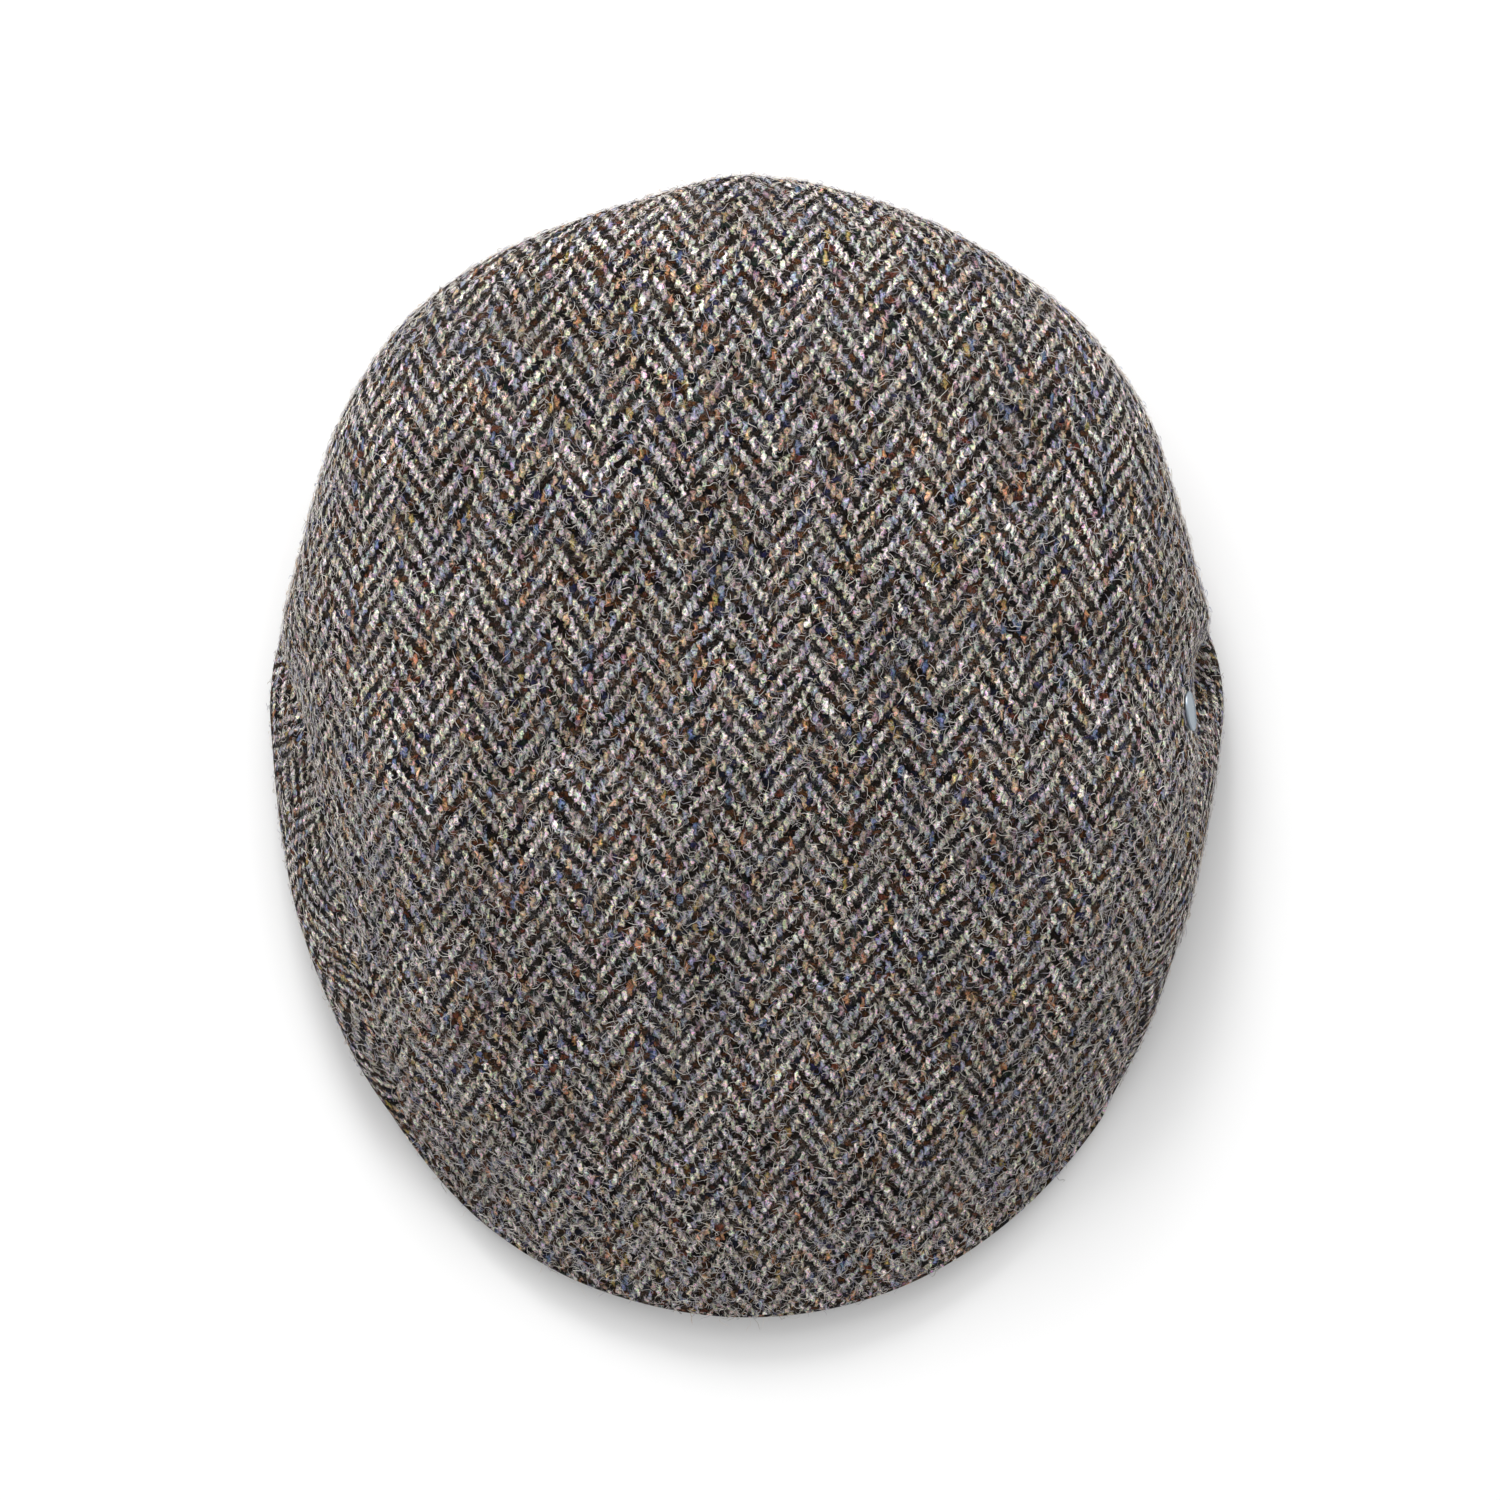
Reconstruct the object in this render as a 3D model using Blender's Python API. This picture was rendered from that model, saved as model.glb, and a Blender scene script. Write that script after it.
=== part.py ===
"""A flat cap in herringbone tweed: a one-piece top, two side panels, a covered peak and a badge.

The cap lies on the plane z = 0 as it does when it is put down, with its peak towards -Y and the
middle of its plan at the origin. Left (+X) and right (-X) are the wearer's.

Every curve round the cap is read at a turn: 0 degrees at the centre back, 90 at the side and 180
at the centre of the peak. A station is the cap cut at one turn. The cloth is a wall: its outer
face is worked out first, and its inner face lies one cloth thickness inside it.
"""

import math
from collections import namedtuple

import bmesh
import bpy
import numpy as np
from mathutils import Matrix, Vector

# Overall sizes, in metres
CAP_LENGTH = 0.2832
CAP_WIDTH = 0.2370
CROWN_HEIGHT = 0.0880

# Cloth, and the gap between pieces that meet
CLOTH = 0.0022
GAP = 0.0003

# Crest line of the top panel, from its highest point forwards
CREST_BACK_Y = 0.0750
CREST_FRONT_Y = -0.0600
CREST_DROP = 0.0360

# Seam between the top and the side panels: its height above the peak's edge at the centre back
SEAM_RISE = 0.0400

# Head opening, measured to the outside of the cloth
HEAD_LENGTH = 0.2000
HEAD_WIDTH = 0.1640

# Peak: depth at the centre front, thickness, lift of its middle over its corners and of its
# inner edge over the surface, and what shows of it past the cloth above
PEAK_DEPTH = 0.0480
PEAK_THICKNESS = 0.0034
PEAK_ARCH = 0.0040
PEAK_LIFT = 0.0180
PEAK_CAMBER = 0.30
PEAK_REVEAL = 0.0014

# Dart at the back of the top panel, on the cloth's middle thread, which runs a little to the left
DART_X = 0.0070
DART_LENGTH = 0.0160
DART_WIDTH = 0.0090
DART_DEPTH = 0.0005

# Badge: a level oval plate above the seam on the wearer's left
BADGE_LENGTH = 0.0100
BADGE_HEIGHT = 0.0066
BADGE_THICKNESS = 0.0010
BADGE_TURN = 85.5
BADGE_ABOVE_SEAM = 0.0115

# Badge: its bevel over its thickness, and the oval of cloth it keeps clear of, over its own
BADGE_BEVEL = 0.4
BADGE_CLEAR = 1.1

# Turns, in degrees: where the lower edge leaves the head opening for the peak's edge, where it
# reaches it, where the peak starts, where each side panel ends and how long it tapers before that
LEAVES_HEAD = 102.0
MEETS_EDGE = 131.0
PEAK_STARTS = 113.0
LEFT_PANEL_ENDS = 130.0
RIGHT_PANEL_ENDS = 140.0
PANEL_TAPER = 20.0

# Where the cloth's edge lies on the peak, over the outline, and its slope there, in degrees
EDGE_SHARE = 0.988
EDGE_TILT = 30.0

# Widest that a side panel's foot is cut, over the cloth's thickness
FOOT_MOST = 1.8

# Most that a side panel runs down upright below its widest point, over that point's height
UPRIGHT_RUN = 1.6

# How closely the crown's tuck keeps to the seam, as a power of the way from the crest
TUCK_POWER = 6

# Fineness of the meshes: stations per half, rows down the crown, the side and across the peak
HALF_STATIONS = 36
STATION_STEP = 180.0 / HALF_STATIONS
CROWN_ROWS = 17
SIDE_ROWS = 6
PEAK_ROWS = 7
BADGE_SEGMENTS = 28

# Points read along a station and along a facet's side, to place the badge on the cloth
STATION_POINTS = 200
FACET_POINTS = 9

Station = namedtuple(
    "Station",
    "turn outline_left outline_right square reach tuck_left tuck_right seam_left seam_right"
    " seam_height bulge bulge_height depart lean",
)

# turn: degrees. outline: radius over that of the oval of CAP_WIDTH and CAP_LENGTH. square: power
# of the crown's section, 2 being an ellipse and more a flatter top with rounder shoulders. reach:
# where that section would be upright, over the distance from the crest to the outline. tuck: how
# far the crown is drawn in at the seam, over that distance. seam: how far round its section the
# crown ends, in degrees, 90 being upright and more tucked under. seam_height: over SEAM_RISE.
# bulge: the side panel's widest point, over the outline, and its height over the seam's. depart
# and lean: the panel's slope below level at the seam and at its lower edge, in degrees.
STATIONS = (
    Station(0, 1.002, 1.002, 2.00, 1.000, 0.000, 0.000, 112, 112, 1.00, 0.974, 0.62, 82, 62),
    Station(12, 0.995, 0.985, 2.00, 1.000, 0.000, 0.000, 112, 112, 1.00, 0.974, 0.62, 82, 62),
    Station(24, 0.997, 0.994, 2.00, 1.000, 0.000, 0.000, 111, 111, 0.96, 0.974, 0.62, 82, 61),
    Station(35, 1.008, 1.018, 2.00, 1.000, 0.000, 0.000, 109, 109, 0.86, 0.972, 0.61, 81, 59),
    Station(45, 1.023, 1.037, 2.00, 1.000, 0.000, 0.000, 107, 107, 0.73, 0.970, 0.60, 80, 56),
    Station(55, 1.023, 1.032, 2.05, 1.000, 0.000, 0.000, 104, 104, 0.56, 0.972, 0.58, 78, 52),
    Station(64, 1.004, 1.009, 2.10, 1.000, 0.000, 0.000, 100, 100, 0.36, 0.978, 0.56, 76, 49),
    Station(73, 1.001, 1.004, 2.15, 1.000, 0.000, 0.000, 95, 95, 0.20, 0.990, 0.54, 72, 46),
    Station(76, 1.006, 1.009, 2.17, 1.000, 0.002, 0.002, 91, 91, 0.21, 0.995, 0.52, 69, 45),
    Station(79, 1.013, 1.016, 2.20, 1.000, 0.048, 0.010, 84, 83, 0.26, 1.000, 0.50, 66, 44),
    Station(84, 1.017, 1.017, 2.30, 1.000, 0.051, 0.036, 77, 75, 0.45, 1.000, 0.44, 62, 43),
    Station(90, 1.000, 1.004, 2.50, 1.000, 0.021, 0.032, 74, 68, 0.64, 1.000, 0.38, 58, 42),
    Station(98, 0.981, 0.996, 2.80, 1.004, 0.010, 0.010, 69, 59, 0.74, 1.000, 0.34, 56, 41),
    Station(106, 0.975, 0.993, 3.00, 1.013, 0.000, 0.000, 63, 54, 0.73, 1.000, 0.33, 55, 41),
    Station(112, 0.971, 0.988, 3.00, 1.020, 0.000, 0.000, 62, 54, 0.68, 1.000, 0.34, 55, 42),
    Station(119, 0.982, 0.986, 3.00, 1.030, 0.000, 0.000, 62, 56, 0.60, 1.000, 0.36, 55, 44),
    Station(126, 0.993, 0.990, 2.90, 1.050, 0.000, 0.000, 62, 56, 0.50, 1.000, 0.40, 57, 48),
    Station(135, 0.997, 0.996, 2.70, 1.100, 0.000, 0.000, 60, 56, 0.40, 1.000, 0.46, 62, 54),
    Station(144, 1.000, 1.004, 2.50, 1.200, 0.000, 0.000, 56, 54, 0.30, 0.996, 0.52, 68, 60),
    Station(156, 1.002, 1.004, 2.30, 1.350, 0.000, 0.000, 50, 50, 0.20, 0.992, 0.56, 70, 66),
    Station(168, 1.001, 1.000, 2.10, 1.550, 0.000, 0.000, 44, 44, 0.20, 0.992, 0.60, 70, 70),
    Station(180, 1.000, 1.000, 2.00, 1.650, 0.000, 0.000, 40, 40, 0.20, 0.992, 0.60, 70, 70),
)

LEFT = 1
RIGHT = -1


def read(column, turn):
    """A column of STATIONS at these turns, on a smooth curve that is level at both ends."""
    turns = np.array([row.turn for row in STATIONS], dtype=float)
    values = np.array([getattr(row, column) for row in STATIONS], dtype=float)
    slopes = np.gradient(values, turns)
    slopes[0] = slopes[-1] = 0.0
    turn = np.asarray(turn, dtype=float)
    k = np.clip(np.searchsorted(turns, turn, side="right") - 1, 0, len(turns) - 2)
    span = turns[k + 1] - turns[k]
    t = (turn - turns[k]) / span
    return hermite(values[k], values[k + 1], slopes[k] * span, slopes[k + 1] * span, t)


def hermite(start, end, leave, arrive, t):
    """The cubic from start to end that leaves and arrives with these tangents."""
    stay = (1 + 2 * t) * (1 - t) ** 2
    return (
        stay * start
        + (1 - stay) * end
        + t * (1 - t) ** 2 * leave
        - t * t * (1 - t) * arrive
    )


def ease(turn, low, high):
    """0 up to low, 1 from high on, with a smooth step between them."""
    t = np.clip((np.asarray(turn, dtype=float) - low) / (high - low), 0.0, 1.0)
    return t * t * (3 - 2 * t)


def side_column(name, side):
    return f"{name}_left" if side == LEFT else f"{name}_right"


def panel_ends(side):
    return LEFT_PANEL_ENDS if side == LEFT else RIGHT_PANEL_ENDS


def oval(turn, width, length, side):
    """Plan points of an oval, (n, 2)."""
    angle = np.radians(turn)
    return np.stack([side * width / 2 * np.sin(angle), length / 2 * np.cos(angle)], axis=-1)


def outline(turn, side):
    """Plan points of the cap's outline as seen from above."""
    share = read(side_column("outline", side), turn)
    return share[:, None] * oval(turn, CAP_WIDTH, CAP_LENGTH, side)


def head_edge(turn, side):
    """Plan points of the head opening. The peak's depth sets how far forward it lies."""
    centre_y = -CAP_LENGTH / 2 + PEAK_DEPTH + HEAD_LENGTH / 2
    return oval(turn, HEAD_WIDTH, HEAD_LENGTH, side) + np.array([0.0, centre_y])


def peak_edge_height(turn):
    """Height of the underside of the peak's outer edge, arched over the front."""
    return PEAK_ARCH * ease(turn, PEAK_STARTS, 180.0)


def peak_slope(turn):
    """Rise of the peak from its outer edge inwards, as a tangent."""
    steepest = (PEAK_LIFT - PEAK_ARCH) / PEAK_DEPTH * (1 + PEAK_CAMBER)
    return steepest * ease(turn, PEAK_STARTS, 180.0)


def cloth_on_peak(turn):
    """Height at which cloth lies on the peak just inside its outer edge."""
    inside = PEAK_REVEAL / 2 + CLOTH * math.sin(math.radians(EDGE_TILT))
    return peak_edge_height(turn) + PEAK_THICKNESS + peak_slope(turn) * inside + GAP


def on_edge(turn, side):
    """How far the top seam has come down onto the peak's edge: 0 behind, 1 in front."""
    return ease(turn, panel_ends(side) - PANEL_TAPER, panel_ends(side))


def seam_height(turn, side):
    free = 1 - on_edge(turn, side)
    landed = cloth_on_peak(turn) + CLOTH * math.cos(math.radians(EDGE_TILT))
    return landed + SEAM_RISE * read("seam_height", turn) * free


def crest(turn):
    """Points on the crest line that the stations start from, and its slope towards +Y there."""
    run = CREST_BACK_Y - CREST_FRONT_Y
    y = CREST_FRONT_Y + run * (1 + np.cos(np.radians(turn))) / 2
    angle = (CREST_BACK_Y - y) / run * math.pi / 2
    z = CROWN_HEIGHT - CREST_DROP * (1 - np.cos(angle))
    slope = CREST_DROP * math.pi / 2 / run * np.sin(angle)
    return np.stack([np.zeros_like(y), y, z], axis=-1), slope


def crown_face(turn, side, share):
    """Outer face of the top panel. Each station is an arc of a superellipse from the crest to the
    seam, sheared by the crest's slope. share runs from 0 on the crest to 1 at the seam."""
    start, slope = crest(turn)
    reach = outline(turn, side) - start[:, :2]
    distance = np.linalg.norm(reach, axis=-1)
    heading = reach / distance[:, None]
    power = 2 / read("square", turn)
    radius = distance * read("reach", turn)
    tuck = distance * read(side_column("tuck", side), turn)
    free_angle = np.radians(read(side_column("seam", side), turn))
    landed = np.arcsin(np.minimum((EDGE_SHARE * distance / radius) ** (1 / power), 1.0))
    landing = on_edge(turn, side)
    end_angle = (1 - landing) * free_angle + landing * landed
    ramp = slope * heading[:, 1]
    seam_reach = radius * np.sin(end_angle) ** power - tuck
    fall = start[:, 2] + ramp * seam_reach - seam_height(turn, side)
    fall = fall / (1 - signed_power(np.cos(end_angle), power))
    angle = end_angle[:, None] * share[None, :]
    out = radius[:, None] * np.sin(angle) ** power[:, None]
    out = out - tuck[:, None] * share[None, :] ** TUCK_POWER
    drop = fall[:, None] * (1 - signed_power(np.cos(angle), power[:, None]))
    points = np.empty(angle.shape + (3,))
    points[..., :2] = start[:, None, :2] + heading[:, None, :] * out[..., None]
    points[..., 2] = start[:, None, 2] + ramp[:, None] * out - drop
    return points + dart(points)


def signed_power(values, power):
    return np.sign(values) * np.abs(values) ** power


def dart(points):
    """The short dart at the back: a narrow groove that runs up from the seam."""
    up = np.clip(1 - (CAP_LENGTH / 2 - points[..., 1]) / DART_LENGTH, 0.0, 1.0)
    across = np.clip(1 - np.abs(points[..., 0] - DART_X) / (DART_WIDTH / 2), 0.0, 1.0)
    shift = np.zeros_like(points)
    shift[..., 1] = -DART_DEPTH * across * up * (points[..., 1] > 0)
    return shift


def lower_edge(turn, side):
    """Lower edge of the side panel: round the head opening, then out to the peak's edge."""
    out = ease(turn, LEAVES_HEAD, MEETS_EDGE)[:, None]
    on_peak = outline(turn, side) * EDGE_SHARE
    plan = (1 - out) * head_edge(turn, side) + out * on_peak
    height = cloth_on_peak(turn) * ease(turn, LEAVES_HEAD, PEAK_STARTS)
    return np.concatenate([plan, height[:, None]], axis=-1)


def side_face(turn, side, share):
    """Outer face of a side panel. Each station is two cubics that meet, upright, at its widest
    point: one from the seam and one to the lower edge. share runs from 0 at the seam to 1."""
    seam = crown_face(turn, side, np.ones(1))[:, 0]
    tapered = on_edge(turn, side)
    bulge = (1 - tapered) * read("bulge", turn) + tapered * EDGE_SHARE
    widest_plan = outline(turn, side) * bulge[:, None]
    lower = lower_edge(turn, side)
    widest_height = lower[:, 2] + (seam[:, 2] - lower[:, 2]) * read("bulge_height", turn)
    widest = np.concatenate([widest_plan, widest_height[:, None]], axis=-1)
    outward = np.zeros_like(widest)
    outward[:, :2] = widest_plan / np.linalg.norm(widest_plan, axis=-1)[:, None]
    down = np.array([0.0, 0.0, -1.0])
    depart = np.radians(read("depart", turn))[:, None]
    lean = np.radians(read("lean", turn))[:, None]
    above = np.linalg.norm(widest - seam, axis=-1)[:, None]
    below = np.linalg.norm(lower - widest, axis=-1)[:, None]
    leave = (outward * np.cos(depart) + down * np.sin(depart)) * above
    upright_above = down * above
    upright_below = down * np.minimum(below, UPRIGHT_RUN * (widest - lower)[:, 2:])
    arrive = (-outward * np.cos(lean) + down * np.sin(lean)) * below
    columns = []
    for s in share:
        if s < 0.5:
            columns.append(hermite(seam, widest, leave, upright_above, 2 * s))
        else:
            columns.append(hermite(widest, lower, upright_below, arrive, 2 * s - 1))
    return np.stack(columns, axis=1)


def normals(face, side):
    """Outward unit normals of a face given as (stations, rows, 3)."""
    along = np.gradient(face, axis=0)
    down = np.gradient(face, axis=1)
    normal = side * np.cross(along, down)
    return normal / np.maximum(np.linalg.norm(normal, axis=-1, keepdims=True), 1e-12)


def unit(vectors):
    return vectors / np.linalg.norm(vectors, axis=-1, keepdims=True)


def seam_mitre(turn, side, crown, crown_normal):
    """How the two cloths meet at the top seam: the way into the mitre, with its length, and the
    direction square to the mitre, from the crown to the panel."""
    share = np.linspace(0.0, 1.0, 2 * SIDE_ROWS + 1)
    panel_normal = normals(side_face(turn, side, share), side)[:, 0]
    own = crown_normal[:, -1]
    panel_part = 1 - ease(turn, panel_ends(side) - STATION_STEP, panel_ends(side))
    middle = unit(own + panel_part[:, None] * panel_normal)
    inward = -middle * (CLOTH / np.sum(middle * own, axis=-1))[:, None]
    down = crown[:, -1] - crown[:, -2]
    down = down - np.sum(down * middle, axis=-1)[:, None] * middle
    return inward, unit(down)


def crown_walls(turn, side):
    """Outer and inner face of one half of the top panel."""
    outer = crown_face(turn, side, np.linspace(0.0, 1.0, CROWN_ROWS))
    normal = normals(outer, side)
    slope = crest(turn)[1]
    crest_normal = np.stack([np.zeros_like(slope), -slope, np.ones_like(slope)], axis=-1)
    normal[:, 0] = unit(crest_normal)
    normal[[0, -1], :, 0] = 0.0
    normal = unit(normal)
    inward, across = seam_mitre(turn, side, outer, normal)
    inward[[0, -1], 0] = 0.0
    inner = outer - CLOTH * normal
    inner[:, -1] = outer[:, -1] + inward
    outer[:, -1] -= across * GAP / 2
    inner[:, -1] -= across * GAP / 2
    return outer, inner


def side_walls(turn, side):
    """Outer and inner face of a side panel, with its foot cut level where it rests."""
    share = np.linspace(0.0, 1.0, 2 * SIDE_ROWS + 1)
    outer = side_face(turn, side, share)
    normal = normals(outer, side)
    crown = crown_face(turn, side, np.linspace(0.0, 1.0, CROWN_ROWS))
    inward, across = seam_mitre(turn, side, crown, normals(crown, side))
    seam = outer[:, :1].copy()
    inner = outer - CLOTH * normal
    inner[:, 0] = outer[:, 0] + inward
    # Every row keeps to its own side of the mitre, a half gap off it at least.
    least = GAP * (0.5 + share)[None, :]
    for face in (outer, inner):
        past = np.sum((face - seam) * across[:, None], axis=-1)
        face += across[:, None] * np.maximum(least - past, 0.0)[..., None]
    level = normal[:, -1].copy()
    level[:, 2] = 0.0
    width = CLOTH * np.minimum(1 / np.linalg.norm(level, axis=-1), FOOT_MOST)
    inner[:, -1] = outer[:, -1] - unit(level) * width[:, None]
    inner[..., 2] = np.maximum(inner[..., 2], outer[:, -1:, 2])
    for face in (outer, inner):
        face[0, :, 0] = side * GAP / 2
    return outer, inner


def mesh_object(name, build, material, smooth_angle=40.0):
    """A named object from a function that fills a bmesh, shaded smooth but for its sharp edges."""
    mesh = bpy.data.meshes.new(name)
    work = bmesh.new()
    build(work)
    bmesh.ops.recalc_face_normals(work, faces=work.faces[:])
    work.to_mesh(mesh)
    work.free()
    mesh.shade_smooth()
    mesh.set_sharp_from_angle(angle=math.radians(smooth_angle))
    mesh.materials.append(material)
    result = bpy.data.objects.new(name, mesh)
    bpy.context.scene.collection.objects.link(result)
    return result


def add_grid(work, points):
    """Vertices of a grid of points, as a list of rows."""
    return [[work.verts.new(Vector(point)) for point in row] for row in points]


def fill_strip(work, first, second, closed=False):
    """Quads between two rows of vertices of the same length."""
    count = len(first)
    for k in range(count if closed else count - 1):
        n = (k + 1) % count
        work.faces.new((first[k], first[n], second[n], second[k]))


def fill_grid(work, grid, closed=False):
    for k in range(len(grid) - 1):
        fill_strip(work, grid[k], grid[k + 1])
    if closed:
        fill_strip(work, grid[-1], grid[0])


def fill_panel(work, outer, inner):
    """A wall between two open grids, closed along its four edges."""
    outer_grid = add_grid(work, outer)
    inner_grid = add_grid(work, inner)
    fill_grid(work, outer_grid)
    fill_grid(work, inner_grid)
    for end in (0, -1):
        fill_strip(work, outer_grid[end], inner_grid[end])
        fill_strip(
            work,
            [row[end] for row in outer_grid],
            [row[end] for row in inner_grid],
        )


def build_top_panel(work):
    """The two halves of the crown joined round the crest line into one disc of cloth."""
    turn = np.linspace(0.0, 180.0, HALF_STATIONS + 1)
    left_outer, left_inner = crown_walls(turn, LEFT)
    right_outer, right_inner = crown_walls(turn, RIGHT)
    outer_grid = add_grid(work, np.concatenate([left_outer, right_outer[-2:0:-1]]))
    inner_grid = add_grid(work, np.concatenate([left_inner, right_inner[-2:0:-1]]))
    fill_grid(work, outer_grid, closed=True)
    fill_grid(work, inner_grid, closed=True)
    fill_strip(
        work,
        [row[-1] for row in outer_grid],
        [row[-1] for row in inner_grid],
        closed=True,
    )
    bmesh.ops.remove_doubles(work, verts=work.verts[:], dist=1e-6)
    bmesh.ops.dissolve_degenerate(work, edges=work.edges[:], dist=1e-6)


def build_side_panel(side):
    def build(work):
        last = panel_ends(side) - STATION_STEP / 2
        turn = np.append(np.arange(0.0, last - STATION_STEP / 4, STATION_STEP), last)
        fill_panel(work, *side_walls(turn, side))

    return build


def peak_section(turn, side):
    """Closed sections of the peak: its top from the inner edge out, a rounded edge, its underside."""
    inner_edge = head_edge(turn, side)
    edge = lower_edge(turn, side)[:, :2]
    outward = unit(outline(turn, side))
    outer_edge = edge + outward * PEAK_REVEAL / 2
    start = peak_edge_height(turn)
    end = PEAK_LIFT * ease(turn, PEAK_STARTS, 180.0)
    inside = np.linspace(0.0, 1.0, PEAK_ROWS)
    rise = inside + PEAK_CAMBER * inside * (1 - inside)
    plan = outer_edge[:, None] + (inner_edge - outer_edge)[:, None] * inside[None, :, None]
    under = start[:, None] + (end - start)[:, None] * rise[None]
    lower = np.concatenate([plan, under[..., None]], axis=-1)
    upper = lower + np.array([0.0, 0.0, PEAK_THICKNESS])
    nose = lower[:, 0] + np.array([0.0, 0.0, PEAK_THICKNESS / 2])
    nose[:, :2] += outward * PEAK_REVEAL / 2
    return np.concatenate([upper[:, ::-1], nose[:, None], lower], axis=1)


def build_peak(work):
    """The covered board of the peak, swept from its left corner round the front to its right."""
    first = math.ceil(PEAK_STARTS / STATION_STEP) * STATION_STEP
    turn = np.arange(first, 180.0 + STATION_STEP / 2, STATION_STEP)
    left = peak_section(turn, LEFT)
    right = peak_section(turn, RIGHT)
    sections = add_grid(work, np.concatenate([left, right[-2::-1]]))
    for k in range(len(sections) - 1):
        fill_strip(work, sections[k], sections[k + 1], closed=True)
    for ends in (sections[0], sections[-1]):
        upper = ends[:PEAK_ROWS]
        lower = ends[PEAK_ROWS + 1:][::-1]
        fill_strip(work, upper, lower)
        work.faces.new((upper[-1], ends[PEAK_ROWS], lower[-1]))


def badge_place():
    """Where the badge sits on the top panel's outer face: its middle, outward and level along."""
    turn = np.array([BADGE_TURN - 1.0, BADGE_TURN, BADGE_TURN + 1.0])
    face = crown_face(turn, LEFT, np.linspace(0.0, 1.0, STATION_POINTS))
    steps = np.linalg.norm(np.diff(face[1], axis=0), axis=-1)
    to_seam = np.append(np.cumsum(steps[::-1])[::-1], 0.0)
    row = int(np.argmin(np.abs(to_seam - BADGE_ABOVE_SEAM)))
    outward = normals(face, LEFT)[1, row]
    return face[1, row], outward, unit(np.cross(outward, [0.0, 0.0, 1.0]))


def cloth_under_badge(middle, outward, along):
    """How far the top panel's facets stand out past the badge's middle, under the badge."""
    turn = np.linspace(0.0, 180.0, HALF_STATIONS + 1)
    near = np.abs(turn - BADGE_TURN) < 2.5 * STATION_STEP
    face = crown_face(turn[near], LEFT, np.linspace(0.0, 1.0, CROWN_ROWS))
    part = np.linspace(0.0, 1.0, FACET_POINTS)
    across = face[:-1, None] + (face[1:] - face[:-1])[:, None] * part[None, :, None, None]
    down = (across[:, :, 1:] - across[:, :, :-1])[:, :, :, None]
    points = across[:, :, :-1, None] + down * part[None, None, None, :, None]
    offset = points.reshape(-1, 3) - middle
    beside = offset @ along / (BADGE_LENGTH / 2)
    above = offset @ np.cross(outward, along) / (BADGE_HEIGHT / 2)
    inside = beside**2 + above**2 < BADGE_CLEAR**2
    return float(np.max(offset[inside] @ outward))


def build_badge(work):
    """A plain oval plate with a rounded rim, lying one gap off the cloth."""
    place = badge_place()
    middle, outward, along = (Vector(v) for v in place)
    up = outward.cross(along).normalized()
    frame = Matrix((along, up, outward)).transposed()
    scale = Matrix.Diagonal((BADGE_LENGTH / 2, BADGE_HEIGHT / 2, BADGE_THICKNESS))
    lift = outward * (cloth_under_badge(*place) + GAP + BADGE_THICKNESS / 2)
    made = bmesh.ops.create_cone(
        work,
        cap_ends=True,
        segments=BADGE_SEGMENTS,
        radius1=1.0,
        radius2=1.0,
        depth=1.0,
        matrix=Matrix.Translation(middle + lift) @ (frame @ scale).to_4x4(),
    )
    front = [
        edge
        for edge in {edge for vert in made["verts"] for edge in vert.link_edges}
        if all((vert.co - middle - lift).dot(outward) > 0 for vert in edge.verts)
    ]
    bmesh.ops.bevel(
        work,
        geom=front,
        offset=BADGE_THICKNESS * BADGE_BEVEL,
        segments=2,
        profile=0.5,
        affect="EDGES",
    )


def tweed(name, colour):
    """Woollen cloth: matt, with a trace of sheen."""
    material = bpy.data.materials.new(name)
    material.use_nodes = True
    shader = material.node_tree.nodes["Principled BSDF"]
    shader.inputs["Base Color"].default_value = (*colour, 1.0)
    shader.inputs["Roughness"].default_value = 0.92
    shader.inputs["Metallic"].default_value = 0.0
    shader.inputs["Sheen Weight"].default_value = 0.25
    return material


def badge_metal():
    """Brushed nickel plate."""
    material = bpy.data.materials.new("nickel_plate")
    material.use_nodes = True
    shader = material.node_tree.nodes["Principled BSDF"]
    shader.inputs["Base Color"].default_value = (0.56, 0.58, 0.60, 1.0)
    shader.inputs["Roughness"].default_value = 0.32
    shader.inputs["Metallic"].default_value = 1.0
    return material


def main():
    for leftover in list(bpy.data.objects):
        bpy.data.objects.remove(leftover, do_unlink=True)
    mesh_object("top_panel", build_top_panel, tweed("tweed_top", (0.198, 0.172, 0.168)))
    mesh_object(
        "side_panel_left", build_side_panel(LEFT), tweed("tweed_side_left", (0.19, 0.168, 0.165))
    )
    mesh_object(
        "side_panel_right",
        build_side_panel(RIGHT),
        tweed("tweed_side_right", (0.19, 0.168, 0.165)),
    )
    mesh_object("peak", build_peak, tweed("tweed_peak", (0.185, 0.162, 0.158)))
    mesh_object("badge", build_badge, badge_metal(), smooth_angle=30.0)


main()
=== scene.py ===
"""Looks of a flat cap in herringbone tweed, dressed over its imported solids.

The cloth follows the same stations as the solids do, on finer grids, and every point of it carries
the weave's own coordinates. Metres, +Z up, peak towards -Y. Left (+X) and right are the wearer's.
"""

import logging
import math
from dataclasses import dataclass
from enum import Enum

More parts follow.
